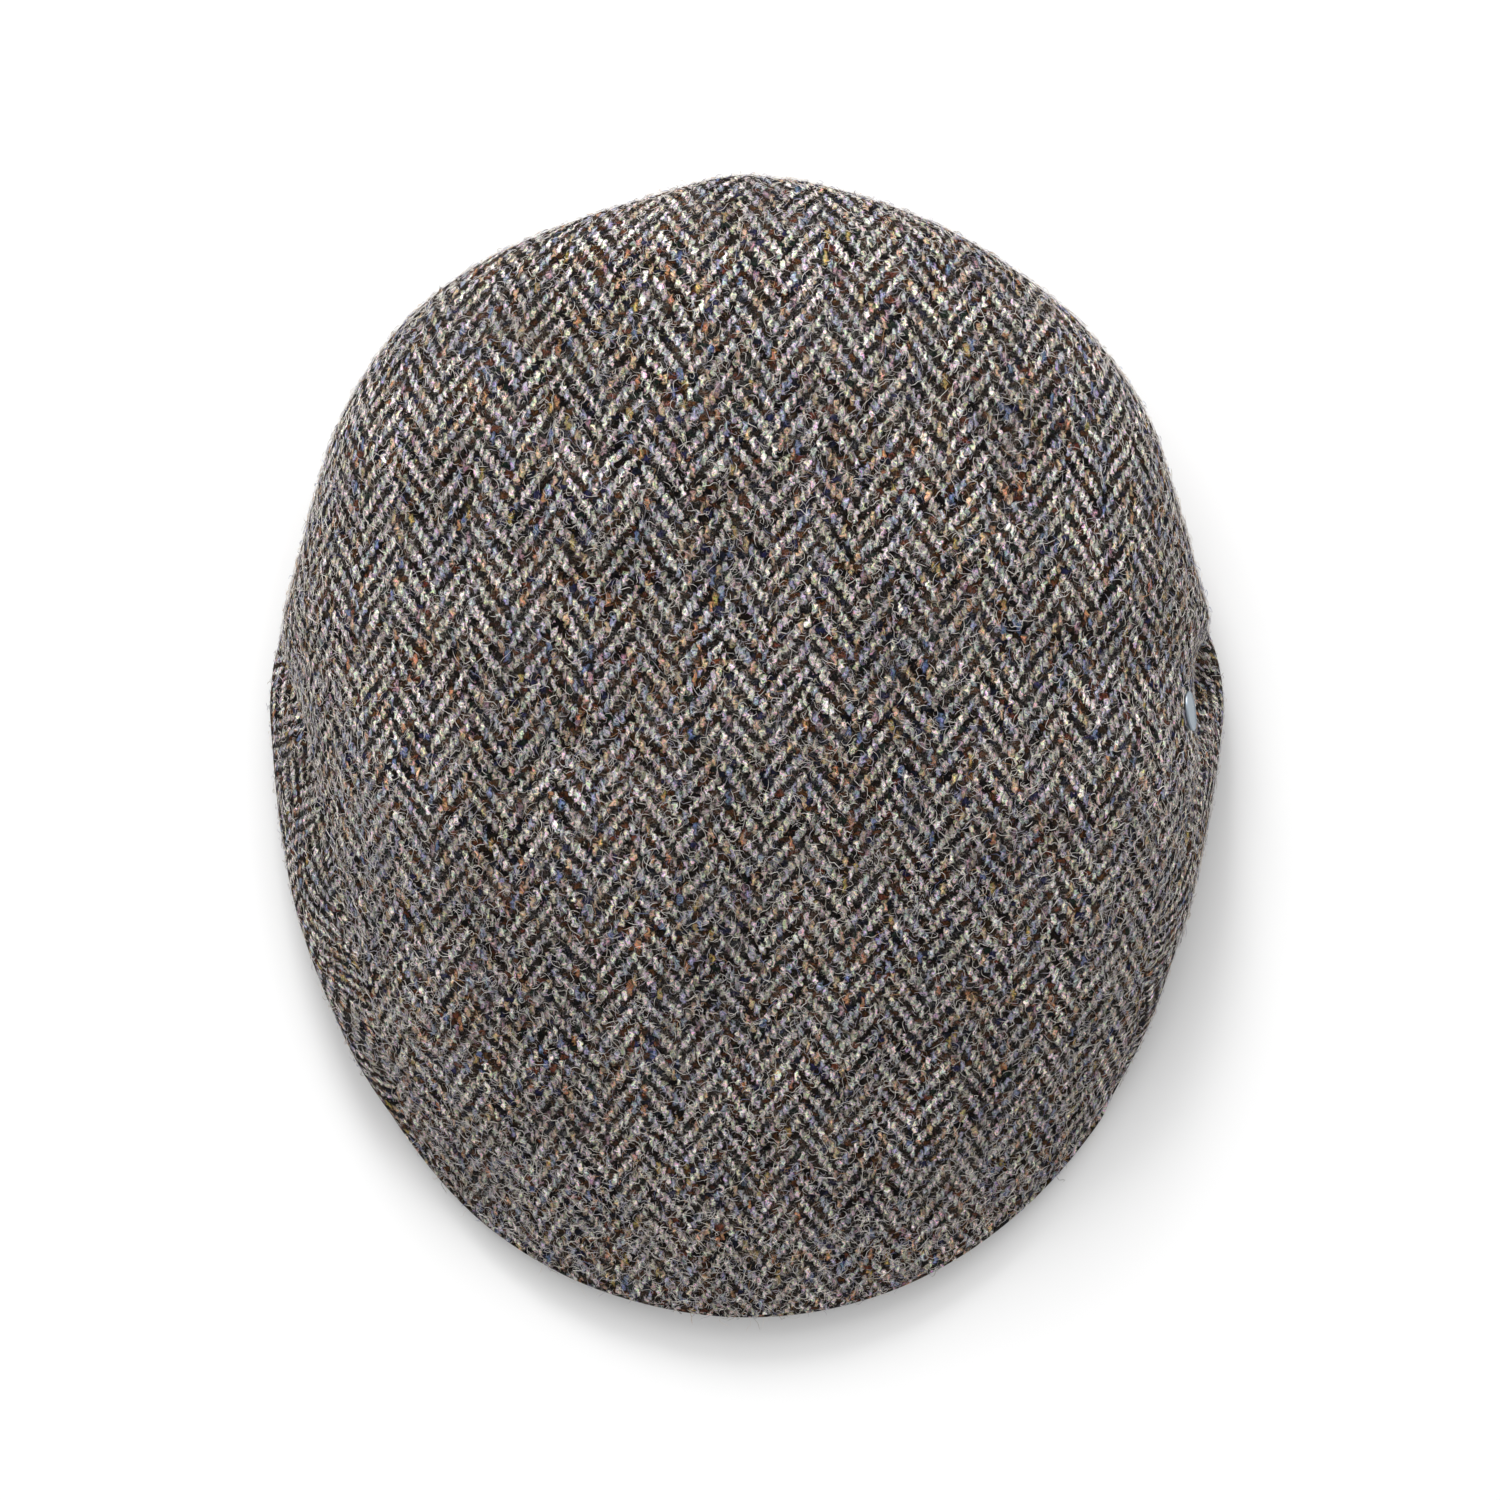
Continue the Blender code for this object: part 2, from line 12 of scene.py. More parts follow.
import bmesh
import bpy
import numpy as np
from numpy.typing import NDArray
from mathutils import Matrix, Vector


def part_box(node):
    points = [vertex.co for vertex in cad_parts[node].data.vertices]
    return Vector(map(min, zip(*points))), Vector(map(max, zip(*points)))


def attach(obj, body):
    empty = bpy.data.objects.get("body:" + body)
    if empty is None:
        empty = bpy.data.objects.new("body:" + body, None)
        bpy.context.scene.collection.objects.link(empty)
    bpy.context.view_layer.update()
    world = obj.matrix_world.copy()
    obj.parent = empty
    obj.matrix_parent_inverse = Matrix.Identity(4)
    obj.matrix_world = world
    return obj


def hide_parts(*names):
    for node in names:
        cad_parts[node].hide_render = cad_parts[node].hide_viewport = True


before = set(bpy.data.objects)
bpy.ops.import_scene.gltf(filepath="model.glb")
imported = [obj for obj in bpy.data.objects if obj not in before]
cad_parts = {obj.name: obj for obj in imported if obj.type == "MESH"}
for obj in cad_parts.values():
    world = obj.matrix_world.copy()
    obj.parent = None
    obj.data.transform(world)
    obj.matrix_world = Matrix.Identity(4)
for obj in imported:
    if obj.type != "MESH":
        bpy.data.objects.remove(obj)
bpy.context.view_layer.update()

Array = NDArray[np.float64]
LOG = logging.getLogger("flat_cap")
MM = 0.001


class Side(Enum):
    """A half of the cap, as the wearer has it, with the sign of its X."""

    LEFT = 1
    RIGHT = -1


# turn, outline left and right, square, reach, tuck left and right, seam left and right, seam
# height, bulge, bulge height, depart, lean: the stations of the solids, in the same order.
STATION_COLUMNS = (
    "turn outline_left outline_right square reach tuck_left tuck_right seam_left seam_right"
    " seam_height bulge bulge_height depart lean"
).split()
STATIONS = (
    (0, 1.002, 1.002, 2.00, 1.000, 0.000, 0.000, 112, 112, 1.00, 0.974, 0.62, 82, 62),
    (12, 0.995, 0.985, 2.00, 1.000, 0.000, 0.000, 112, 112, 1.00, 0.974, 0.62, 82, 62),
    (24, 0.997, 0.994, 2.00, 1.000, 0.000, 0.000, 111, 111, 0.96, 0.974, 0.62, 82, 61),
    (35, 1.008, 1.018, 2.00, 1.000, 0.000, 0.000, 109, 109, 0.86, 0.972, 0.61, 81, 59),
    (45, 1.023, 1.037, 2.00, 1.000, 0.000, 0.000, 107, 107, 0.73, 0.970, 0.60, 80, 56),
    (55, 1.023, 1.032, 2.05, 1.000, 0.000, 0.000, 104, 104, 0.56, 0.972, 0.58, 78, 52),
    (64, 1.004, 1.009, 2.10, 1.000, 0.000, 0.000, 100, 100, 0.36, 0.978, 0.56, 76, 49),
    (73, 1.001, 1.004, 2.15, 1.000, 0.000, 0.000, 95, 95, 0.20, 0.990, 0.54, 72, 46),
    (76, 1.006, 1.009, 2.17, 1.000, 0.002, 0.002, 91, 91, 0.21, 0.995, 0.52, 69, 45),
    (79, 1.013, 1.016, 2.20, 1.000, 0.048, 0.010, 84, 83, 0.26, 1.000, 0.50, 66, 44),
    (84, 1.017, 1.017, 2.30, 1.000, 0.051, 0.036, 77, 75, 0.45, 1.000, 0.44, 62, 43),
    (90, 1.000, 1.004, 2.50, 1.000, 0.021, 0.032, 74, 68, 0.64, 1.000, 0.38, 58, 42),
    (98, 0.981, 0.996, 2.80, 1.004, 0.010, 0.010, 69, 59, 0.74, 1.000, 0.34, 56, 41),
    (106, 0.975, 0.993, 3.00, 1.013, 0.000, 0.000, 63, 54, 0.73, 1.000, 0.33, 55, 41),
    (112, 0.971, 0.988, 3.00, 1.020, 0.000, 0.000, 62, 54, 0.68, 1.000, 0.34, 55, 42),
    (119, 0.982, 0.986, 3.00, 1.030, 0.000, 0.000, 62, 56, 0.60, 1.000, 0.36, 55, 44),
    (126, 0.993, 0.990, 2.90, 1.050, 0.000, 0.000, 62, 56, 0.50, 1.000, 0.40, 57, 48),
    (135, 0.997, 0.996, 2.70, 1.100, 0.000, 0.000, 60, 56, 0.40, 1.000, 0.46, 62, 54),
    (144, 1.000, 1.004, 2.50, 1.200, 0.000, 0.000, 56, 54, 0.30, 0.996, 0.52, 68, 60),
    (156, 1.002, 1.004, 2.30, 1.350, 0.000, 0.000, 50, 50, 0.20, 0.992, 0.56, 70, 66),
    (168, 1.001, 1.000, 2.10, 1.550, 0.000, 0.000, 44, 44, 0.20, 0.992, 0.60, 70, 70),
    (180, 1.000, 1.000, 2.00, 1.650, 0.000, 0.000, 40, 40, 0.20, 0.992, 0.60, 70, 70),
)


def hermite(start: Array, end: Array, leave: Array, arrive: Array, t: Array) -> Array:
    """The cubic from start to end that leaves and arrives with these tangents.

    Args:
        start, end: the curve's ends.
        leave, arrive: tangents there.
        t: share of the way, 0 to 1.

    Returns:
        The curve's value at t.
    """
    stay = (1 + 2 * t) * (1 - t) ** 2
    return stay * start + (1 - stay) * end + t * (1 - t) ** 2 * leave - t * t * (1 - t) * arrive


def ease(value: Array, low: float, high: float) -> Array:
    """0 up to low, 1 from high on, with a smooth step between them."""
    t = np.clip((np.asarray(value, dtype=float) - low) / (high - low), 0.0, 1.0)
    return t * t * (3 - 2 * t)


def unit(vectors: Array) -> Array:
    """The vectors, each with length 1."""
    return vectors / np.maximum(np.linalg.norm(vectors, axis=-1, keepdims=True), 1e-12)


def signed_power(values: Array, power: Array) -> Array:
    """The size of each value to the power, with the value's own sign."""
    return np.sign(values) * np.abs(values) ** power


def normals(face: Array, side: Side) -> Array:
    """Outward unit normals of a face given as (stations, rows, 3)."""
    return unit(side.value * np.cross(np.gradient(face, axis=0), np.gradient(face, axis=1)))


def arc(points: Array, axis: int) -> Array:
    """Distance along an axis of a grid of points, measured on the grid.

    Args:
        points: the grid, (..., 3).
        axis: the axis to go along.

    Returns:
        The sum of the steps so far at every point, 0 at the start.
    """
    steps = np.linalg.norm(np.diff(points, axis=axis), axis=-1)
    start = np.zeros_like(np.take(steps, [0], axis=axis))
    return np.concatenate([start, np.cumsum(steps, axis=axis)], axis=axis)


def linear(code: str) -> tuple[float, float, float, float]:
    """A colour in hex, as seen on a screen, turned linear.

    Args:
        code: six hex digits after a hash.

    Returns:
        Linear red, green and blue, and an alpha of 1.
    """
    seen = [int(code[k:k + 2], 16) / 255 for k in (1, 3, 5)]
    red, green, blue = (c / 12.92 if c <= 0.04045 else ((c + 0.055) / 1.055) ** 2.4 for c in seen)
    return red, green, blue, 1.0


@dataclass(frozen=True)
class CapShape:
    """Sizes of the cap and the curves its cloth follows, each read at turns in degrees."""

    cap_length: float = 0.2832
    cap_width: float = 0.2370
    crown_height: float = 0.0880
    cloth: float = 0.0022
    gap: float = 0.0003
    crest_back_y: float = 0.0750
    crest_front_y: float = -0.0600
    crest_drop: float = 0.0360
    seam_rise: float = 0.0400
    head_length: float = 0.2000
    head_width: float = 0.1640
    peak_depth: float = 0.0480
    peak_thickness: float = 0.0034
    peak_arch: float = 0.0040
    peak_lift: float = 0.0180
    peak_camber: float = 0.30
    peak_reveal: float = 0.0014
    dart_x: float = 0.0070
    dart_length: float = 0.0160
    dart_width: float = 0.0090
    dart_depth: float = 0.0005
    leaves_head: float = 102.0
    meets_edge: float = 131.0
    peak_starts: float = 113.0
    left_panel_ends: float = 130.0
    right_panel_ends: float = 140.0
    panel_taper: float = 20.0
    edge_share: float = 0.988
    edge_tilt: float = 30.0
    foot_most: float = 1.8
    upright_run: float = 1.6
    tuck_power: int = 6
    station_step: float = 5.0

    def read(self, column: str, turn: Array) -> Array:
        """A column of the stations, on a smooth curve that is level at both ends.

        Args:
            column: its name.
            turn: where it is read.

        Returns:
            Its value at every turn.
        """
        table = np.array(STATIONS, dtype=float)
        turns = table[:, 0]
        values = table[:, STATION_COLUMNS.index(column)]
        slopes = np.gradient(values, turns)
        slopes[[0, -1]] = 0.0
        k = np.clip(np.searchsorted(turns, turn, side="right") - 1, 0, len(turns) - 2)
        span = turns[k + 1] - turns[k]
        t = (turn - turns[k]) / span
        return hermite(values[k], values[k + 1], slopes[k] * span, slopes[k + 1] * span, t)

    def panel_ends(self, side: Side) -> float:
        """Turn at which a side panel ends."""
        return self.left_panel_ends if side is Side.LEFT else self.right_panel_ends

    def oval(self, turn: Array, width: float, length: float, side: Side) -> Array:
        """Plan points of an oval with these axes, (stations, 2)."""
        across, along = np.sin(np.radians(turn)), np.cos(np.radians(turn))
        return np.stack([side.value * width / 2 * across, length / 2 * along], axis=-1)

    def outline(self, turn: Array, side: Side) -> Array:
        """Plan points of the cap's outline as seen from above."""
        share = self.read(f"outline_{side.name.lower()}", turn)
        return share[:, None] * self.oval(turn, self.cap_width, self.cap_length, side)

    def head_edge(self, turn: Array, side: Side) -> Array:
        """Plan points of the head opening."""
        centre_y = -self.cap_length / 2 + self.peak_depth + self.head_length / 2
        return self.oval(turn, self.head_width, self.head_length, side) + [0.0, centre_y]

    def peak_edge_height(self, turn: Array) -> Array:
        """Height of the underside of the peak's outer edge, arched over the front."""
        return self.peak_arch * ease(turn, self.peak_starts, 180.0)

    def cloth_on_peak(self, turn: Array) -> Array:
        """Height at which cloth lies on the peak just inside its outer edge.

        Args:
            turn: stations.

        Returns:
            The height at every station.
        """
        steepest = (self.peak_lift - self.peak_arch) / self.peak_depth * (1 + self.peak_camber)
        slope = steepest * ease(turn, self.peak_starts, 180.0)
        inside = self.peak_reveal / 2 + self.cloth * math.sin(math.radians(self.edge_tilt))
        return self.peak_edge_height(turn) + self.peak_thickness + slope * inside + self.gap

    def on_edge(self, turn: Array, side: Side) -> Array:
        """How far the top seam has come down onto the peak's edge: 0 behind, 1 in front."""
        return ease(turn, self.panel_ends(side) - self.panel_taper, self.panel_ends(side))

    def seam_height(self, turn: Array, side: Side) -> Array:
        """Height of the seam between the top and the side panel.

        Args:
            turn: stations.
            side: half of the cap.

        Returns:
            The height at every station.
        """
        free = 1 - self.on_edge(turn, side)
        rise = self.seam_rise * self.read("seam_height", turn) * free
        landed = self.cloth_on_peak(turn) + self.cloth * math.cos(math.radians(self.edge_tilt))
        return landed + rise

    def crest(self, turn: Array) -> tuple[Array, Array]:
        """The crest line that the stations start from: a quarter cosine from back to front.

        Args:
            turn: stations.

        Returns:
            Points, (stations, 3), and the line's slope towards +Y.
        """
        run = self.crest_back_y - self.crest_front_y
        y = self.crest_front_y + run * (1 + np.cos(np.radians(turn))) / 2
        angle = (self.crest_back_y - y) / run * math.pi / 2
        z = self.crown_height - self.crest_drop * (1 - np.cos(angle))
        slope = self.crest_drop * math.pi / 2 / run * np.sin(angle)
        return np.stack([np.zeros_like(y), y, z], axis=-1), slope

    def headings(self, turn: Array, side: Side) -> tuple[Array, Array]:
        """The way of each station in plan, from the crest to the outline.

        Args:
            turn: stations.
            side: half of the cap.

        Returns:
            Unit directions, (stations, 2), and how far it is.
        """
        reach = self.outline(turn, side) - self.crest(turn)[0][:, :2]
        distance = np.linalg.norm(reach, axis=-1)
        return reach / distance[:, None], distance

    def crown_face(self, turn: Array, side: Side, share: Array) -> Array:
        """Outer face of the top panel.

        Each station is an arc of a superellipse from the crest to the seam: its reach grows with
        the sine of an angle to a power, its height falls with the cosine to the same power, and
        the whole is sheared by the crest's slope. Near the seam it is drawn in by the tuck.

        Args:
            turn: stations.
            side: half of the cap.
            share: 0 on the crest to 1 at the seam.

        Returns:
            Points, (stations, rows, 3).
        """
        start, slope = self.crest(turn)
        heading, distance = self.headings(turn, side)
        power = 2 / self.read("square", turn)
        radius = distance * self.read("reach", turn)
        tuck = distance * self.read(f"tuck_{side.name.lower()}", turn)
        free_angle = np.radians(self.read(f"seam_{side.name.lower()}", turn))
        landed = np.minimum((self.edge_share * distance / radius) ** (1 / power), 1.0)
        landing = self.on_edge(turn, side)
        end_angle = (1 - landing) * free_angle + landing * np.arcsin(landed)
        ramp = slope * heading[:, 1]
        seam_reach = radius * np.sin(end_angle) ** power - tuck
        fall = start[:, 2] + ramp * seam_reach - self.seam_height(turn, side)
        fall = fall / (1 - signed_power(np.cos(end_angle), power))
        angle = end_angle[:, None] * share[None, :]
        out = radius[:, None] * np.sin(angle) ** power[:, None]
        out = out - tuck[:, None] * share[None, :] ** self.tuck_power
        drop = fall[:, None] * (1 - signed_power(np.cos(angle), power[:, None]))
        points = np.empty(angle.shape + (3,))
        points[..., :2] = start[:, None, :2] + heading[:, None, :] * out[..., None]
        points[..., 2] = start[:, None, 2] + ramp[:, None] * out - drop
        return points

    def lower_edge(self, turn: Array, side: Side) -> Array:
        """Lower edge of the side panel: round the head opening, then out to the peak's edge.

        Args:
            turn: stations.
            side: half of the cap.

        Returns:
            Points, (stations, 3).
        """
        out = ease(turn, self.leaves_head, self.meets_edge)[:, None]
        plan = (1 - out) * self.head_edge(turn, side)
        plan = plan + out * self.outline(turn, side) * self.edge_share
        height = self.cloth_on_peak(turn) * ease(turn, self.leaves_head, self.peak_starts)
        return np.concatenate([plan, height[:, None]], axis=-1)

    def side_face(self, turn: Array, side: Side, share: Array) -> Array:
        """Outer face of a side panel.

        Each station is two cubics that meet, upright, at the widest point: one from the seam and
        one to the lower edge.

        Args:
            turn: stations.
            side: half of the cap.
            share: 0 at the seam to 1 at the lower edge.

        Returns:
            Points, (stations, rows, 3).
        """
        seam = self.crown_face(turn, side, np.ones(1))[:, 0]
        tapered = self.on_edge(turn, side)
        bulge = (1 - tapered) * self.read("bulge", turn) + tapered * self.edge_share
        plan = self.outline(turn, side) * bulge[:, None]
        lower = self.lower_edge(turn, side)
        height = lower[:, 2] + (seam[:, 2] - lower[:, 2]) * self.read("bulge_height", turn)
        widest = np.concatenate([plan, height[:, None]], axis=-1)
        outward = np.zeros_like(widest)
        outward[:, :2] = unit(plan)
        down = np.array([0.0, 0.0, -1.0])
        depart = np.radians(self.read("depart", turn))[:, None]
        lean = np.radians(self.read("lean", turn))[:, None]
        above = np.linalg.norm(widest - seam, axis=-1)[:, None]
        below = np.linalg.norm(lower - widest, axis=-1)[:, None]
        leave = (outward * np.cos(depart) + down * np.sin(depart)) * above
        upright = down * np.minimum(below, self.upright_run * (widest - lower)[:, 2:])
        arrive = (-outward * np.cos(lean) + down * np.sin(lean)) * below
        t = share[None, :, None]
        upper = hermite(*(v[:, None] for v in (seam, widest, leave, down * above)), 2 * t)
        under = hermite(*(v[:, None] for v in (widest, lower, upright, arrive)), 2 * t - 1)
        return np.where(t < 0.5, upper, under)

    def mitre(self, turn: Array, side: Side) -> tuple[Array, Array, Array]:
        """How the two cloths meet at the top seam.

        Args:
            turn: stations.
            side: half of the cap.

        Returns:
            Points on the seam, the way into the mitre with its length, and the direction square
            to the mitre from the crown to the panel, each (stations, 3).
        """
        crown = self.crown_face(turn, side, np.array([0.96, 0.98, 1.0]))
        panel = self.side_face(turn, side, np.array([0.0, 0.04, 0.08]))
        own = normals(crown, side)[:, -1]
        below = normals(panel, side)[:, 0]
        end = self.panel_ends(side)
        panel_part = 1 - ease(turn, end - self.station_step, end)
        middle = unit(own + panel_part[:, None] * below)
        inward = -middle * (self.cloth / np.sum(middle * own, axis=-1))[:, None]
        down = crown[:, -1] - crown[:, -2]
        down = down - np.sum(down * middle, axis=-1)[:, None] * middle
        return crown[:, -1], inward, unit(down)


@dataclass(frozen=True)
class Thread:
    """Spacing of the cloth's threads: ends run front to back, picks run across."""

    end: float = 1.30 * MM
    pick: float = 1.64 * MM

    def count(self, across: Array, along: Array) -> Array:
        """Cloth coordinates in threads from distances in metres, (..., 2)."""
        return np.stack([across / self.end, along / self.pick], axis=-1)


def add_node(
    tree: bpy.types.NodeTree, kind: str, links: dict | None = None, **settings: object
) -> bpy.types.Node:
    """Adds a node with its settings and inputs.

    Args:
        tree: the material's nodes.
        kind: the node's type.
        links: for each input's name or number, a socket to link or a value to set.
        settings: the node's own properties.

    Returns:
        The new node.
    """
    node = tree.nodes.new(kind)
    for name, value in settings.items():
        setattr(node, name, value)
    for key, value in (links or {}).items():
        if isinstance(value, bpy.types.NodeSocket):
            tree.links.new(value, node.inputs[key])
        else:
            node.inputs[key].default_value = value
    return node


def new_material(name: str) -> tuple[bpy.types.Material, bpy.types.Node]:
    """An empty material.

    Args:
        name: its name.

    Returns:
        The material and its shader node.
    """
    material = bpy.data.materials.new(name)
    material.use_nodes = True
    return material, material.node_tree.nodes["Principled BSDF"]


class Kind(Enum):
    """The nodes that the cloth is worked out with: type and settings."""

    ADD = ("Math", {"operation": "ADD"})
    SUBTRACT = ("Math", {"operation": "SUBTRACT"})
    LEFT_OF = ("Math", {"operation": "SUBTRACT", "use_clamp": True})
    MULTIPLY = ("Math", {"operation": "MULTIPLY"})
    DIVIDE = ("Math", {"operation": "DIVIDE"})
    SCALE_ADD = ("Math", {"operation": "MULTIPLY_ADD"})
    SCALE_ADD_CLAMPED = ("Math", {"operation": "MULTIPLY_ADD", "use_clamp": True})
    FLOOR = ("Math", {"operation": "FLOOR"})
    MODULO = ("Math", {"operation": "FLOORED_MODULO"})
    MAXIMUM = ("Math", {"operation": "MAXIMUM"})
    ABSOLUTE = ("Math", {"operation": "ABSOLUTE"})
    JOIN = ("CombineXYZ", {})
    SPLIT = ("SeparateXYZ", {})
    NOISE = ("TexNoise", {})
    CHANCE_1D = ("TexWhiteNoise", {"noise_dimensions": "1D"})
    CHANCE_3D = ("TexWhiteNoise", {"noise_dimensions": "3D"})
    DYES = ("ValToRGB", {})
    MIX = ("Mix", {"data_type": "RGBA"})
    TONE = ("VectorMath", {"operation": "MULTIPLY"})
    TONE_ADD = ("VectorMath", {"operation": "MULTIPLY_ADD"})
    DIM = ("VectorMath", {"operation": "SCALE"})
    BUMP = ("Bump", {})


Step = tuple


def add_steps(
    tree: bpy.types.NodeTree, known: dict[str, bpy.types.NodeSocket], steps: list[Step]
) -> None:
    """Adds the nodes of a table in order.

    Args:
        tree: the material's nodes.
        known: sockets by name. Each step adds its outputs, as its name, a dot and their number,
            and the first of them as its name alone.
        steps: rows of a name, a kind and the inputs in order, or one dict of inputs by name or
            number. An input is the name of a socket, or a value.
    """
    for name, kind, *values in steps:
        inputs = values[0] if isinstance(values[0], dict) else dict(enumerate(values))
        links = {key: known[v] if isinstance(v, str) else v for key, v in inputs.items()}
        node_type, settings = kind.value
        node = add_node(tree, f"ShaderNode{node_type}", links, **settings)
        known[name] = node.outputs[0]
        known.update((f"{name}.{k}", output) for k, output in enumerate(node.outputs))


class Yarn(Enum):
    """The yarns and the loose hairs, each with its dyed wools: from what share on, and colour."""

    WARP = (
        (0.00, "#cecac3"),
        (0.23, "#b2b4ba"),
        (0.39, "#e2dfd8"),
        (0.51, "#aaa299"),
        (0.63, "#baa286"),
        (0.72, "#989fb2"),
        (0.80, "#c7c2b0"),
        (0.885, "#ac7e5d"),
        (0.905, "#667699"),
        (0.922, "#967c84"),
        (0.945, "#a48f57"),
        (0.96, "#f0ede8"),
    )
    WEFT = (
        (0.00, "#1b140f"),
        (0.29, "#0e0c0c"),
        (0.45, "#2f2217"),
        (0.60, "#171a27"),
        (0.70, "#3d2615"),
        (0.80, "#4d311b"),
        (0.88, "#19261f"),
        (0.92, "#252646"),
        (0.96, "#5c3425"),
    )
    HAIR = (
        (0.00, "#dcd5cd"),
        (0.32, "#b4afb8"),
        (0.56, "#f0ebe5"),
        (0.78, "#9c9284"),
        (0.88, "#b48a60"),
        (0.92, "#6f789e"),
        (0.96, "#4a403a"),
    )


def fill_stops(ramp: bpy.types.Node, yarn: Yarn) -> None:
    """Sets a ramp to a yarn's dyed wools, each even from its share to the next.

    Args:
        ramp: the ramp's node, with the two stops that it comes with.
        yarn: whose wools.
    """
    ramp.color_ramp.interpolation = "CONSTANT"
    stops = ramp.color_ramp.elements
    for k, (share, code) in enumerate(yarn.value):
        stop = stops[k] if k < 2 else stops.new(share)
        stop.position = share
        stop.color = linear(code)


@dataclass(frozen=True)
class Tweed:
    """Herringbone wool: pale warp over a dark weft, both of mixed dyed wools, with a fuzzy nap.

    Wool scatters the light, so the cloth is matt and shows its yarns, flecks and hairs, and no
    highlight. The weave is counted in threads, and noises on the solid in waves a metre.
    """

    name: str
    column_ends: int = 8
    fibres: float = 3.6
    stray: float = 3.0
    tint: float = 2.0
    drift: float = 1.9
    shake: float = 2.2
    bump_depth: float = 0.60 * MM
    hair_colour: str = "#ded7d0"
    hair_mix: float = 0.60
    shade: float = 0.86
    roughness: float = 0.95
    gloss: float = 0.08

    def build(self) -> bpy.types.Material:
        """Works the cloth out from the threads up.

        Returns:
            The material, for a piece whose UV map counts threads.
        """
        material, shader = new_material(self.name)
        tree = material.node_tree
        place = add_node(tree, "ShaderNodeTexCoord")
        known = {"uv": place.outputs["UV"], "solid": place.outputs["Object"]}
        parts = (self.wander, self.weave, self.floats, self.wools, self.spun_yarn, self.nap)
        for part in parts:
            add_steps(tree, known, part())
        for yarn in (Yarn.WARP, Yarn.WEFT):
            fill_stops(known[f"{yarn.name.lower()}_dyes"].node, yarn)
        tree.links.new(known["fuzzed.2"], shader.inputs["Base Color"])
        tree.links.new(known["bump"], shader.inputs["Normal"])
        shader.inputs["Roughness"].default_value = self.roughness
        shader.inputs["Specular IOR Level"].default_value = self.gloss
        return material

    def wander(self) -> list[Step]:
        """A place in threads, u across and v along.

        Threads wander by up to about half a thread, slowly over 11 mm (90 waves a metre), and
        quickly over 1.25 mm, a thread's width, which frays the yarns' edges.

        Returns:
            The steps.
        """
        steps = [("cloth", Kind.SPLIT, "uv")]
        for pace, scale, detail in (("slow", 90.0, 2.0), ("fast", 800.0, 5.0)):
            links = {"Vector": "solid", "Scale": scale, "Detail": detail}
            steps += [(f"{pace}_noise", Kind.NOISE, links), (pace, Kind.SPLIT, f"{pace}_noise.1")]
        for k, axis in enumerate("uv"):
            steps += [
                (f"{axis}_drift", Kind.SCALE_ADD, f"slow.{k}", self.drift, -self.drift / 2),
                (f"{axis}_shake", Kind.SCALE_ADD, f"fast.{k}", self.shake, -self.shake / 2),
                (f"{axis}_steady", Kind.ADD, f"cloth.{k}", f"{axis}_drift"),
                (axis, Kind.ADD, f"{axis}_steady", f"{axis}_shake"),
            ]
        return steps

    def weave(self) -> list[Step]:
        """How far along its float each yarn is, 0 to 4.

        A column of ends leans one way and the next leans back, cut through at the turn.

        Returns:
            The steps.
        """
        return [
            ("end", Kind.FLOOR, "u"),
            ("pick", Kind.FLOOR, "v"),
            ("end_middle", Kind.ADD, "end", 0.5),
            ("columns", Kind.DIVIDE, "end_middle", float(self.column_ends)),
            ("column", Kind.FLOOR, "columns"),
            ("turned", Kind.MODULO, "column", 2.0),
            ("lean", Kind.SCALE_ADD, "turned", -2.0, 1.0),
            ("lead", Kind.MULTIPLY, "turned", 3.0),
            ("v_ahead", Kind.ADD, "v", "lead"),
            ("end_lean", Kind.MULTIPLY, "lean", "end"),
            ("warp_step", Kind.SUBTRACT, "v_ahead", "end_lean"),
            ("warp_run", Kind.MODULO, "warp_step", 4.0),
            ("u_middle", Kind.SUBTRACT, "u", 0.5),
            ("u_lean", Kind.MULTIPLY, "lean", "u_middle"),
            ("lead_back", Kind.SUBTRACT, "lead", 1.5),
            ("pick_ahead", Kind.ADD, "pick", "lead_back"),
            ("weft_step", Kind.SUBTRACT, "pick_ahead", "u_lean"),
            ("weft_run", Kind.MODULO, "weft_step", 4.0),
        ]

    def floats(self) -> list[Step]:
        """Heights of the floats: an arch over two threads times a round cross-section.

        Returns:
            The steps.
        """
        steps = []
        for yarn, cross, thread, top in (("warp", "u", "end", 1.0), ("weft", "v", "pick", 0.86)):
            steps += [
                (f"{yarn}_from_top", Kind.SUBTRACT, f"{yarn}_run", 1.0),
                (f"{yarn}_along", Kind.MULTIPLY, f"{yarn}_from_top", 0.84),
                (f"{yarn}_fall", Kind.MULTIPLY, f"{yarn}_along", f"{yarn}_along"),
                (f"{yarn}_arch", Kind.LEFT_OF, 1.0, f"{yarn}_fall"),
                (f"{yarn}_place", Kind.SUBTRACT, cross, thread),
                (f"{yarn}_middle", Kind.SUBTRACT, f"{yarn}_place", 0.5),
                (f"{yarn}_off", Kind.MULTIPLY, f"{yarn}_middle", 1.75),
                (f"{yarn}_drop", Kind.MULTIPLY, f"{yarn}_off", f"{yarn}_off"),
                (f"{yarn}_round", Kind.LEFT_OF, 1.0, f"{yarn}_drop"),
                (f"{yarn}_float", Kind.MULTIPLY, f"{yarn}_arch", f"{yarn}_round"),
                (yarn, Kind.MULTIPLY, f"{yarn}_float", top),
            ]
        return steps

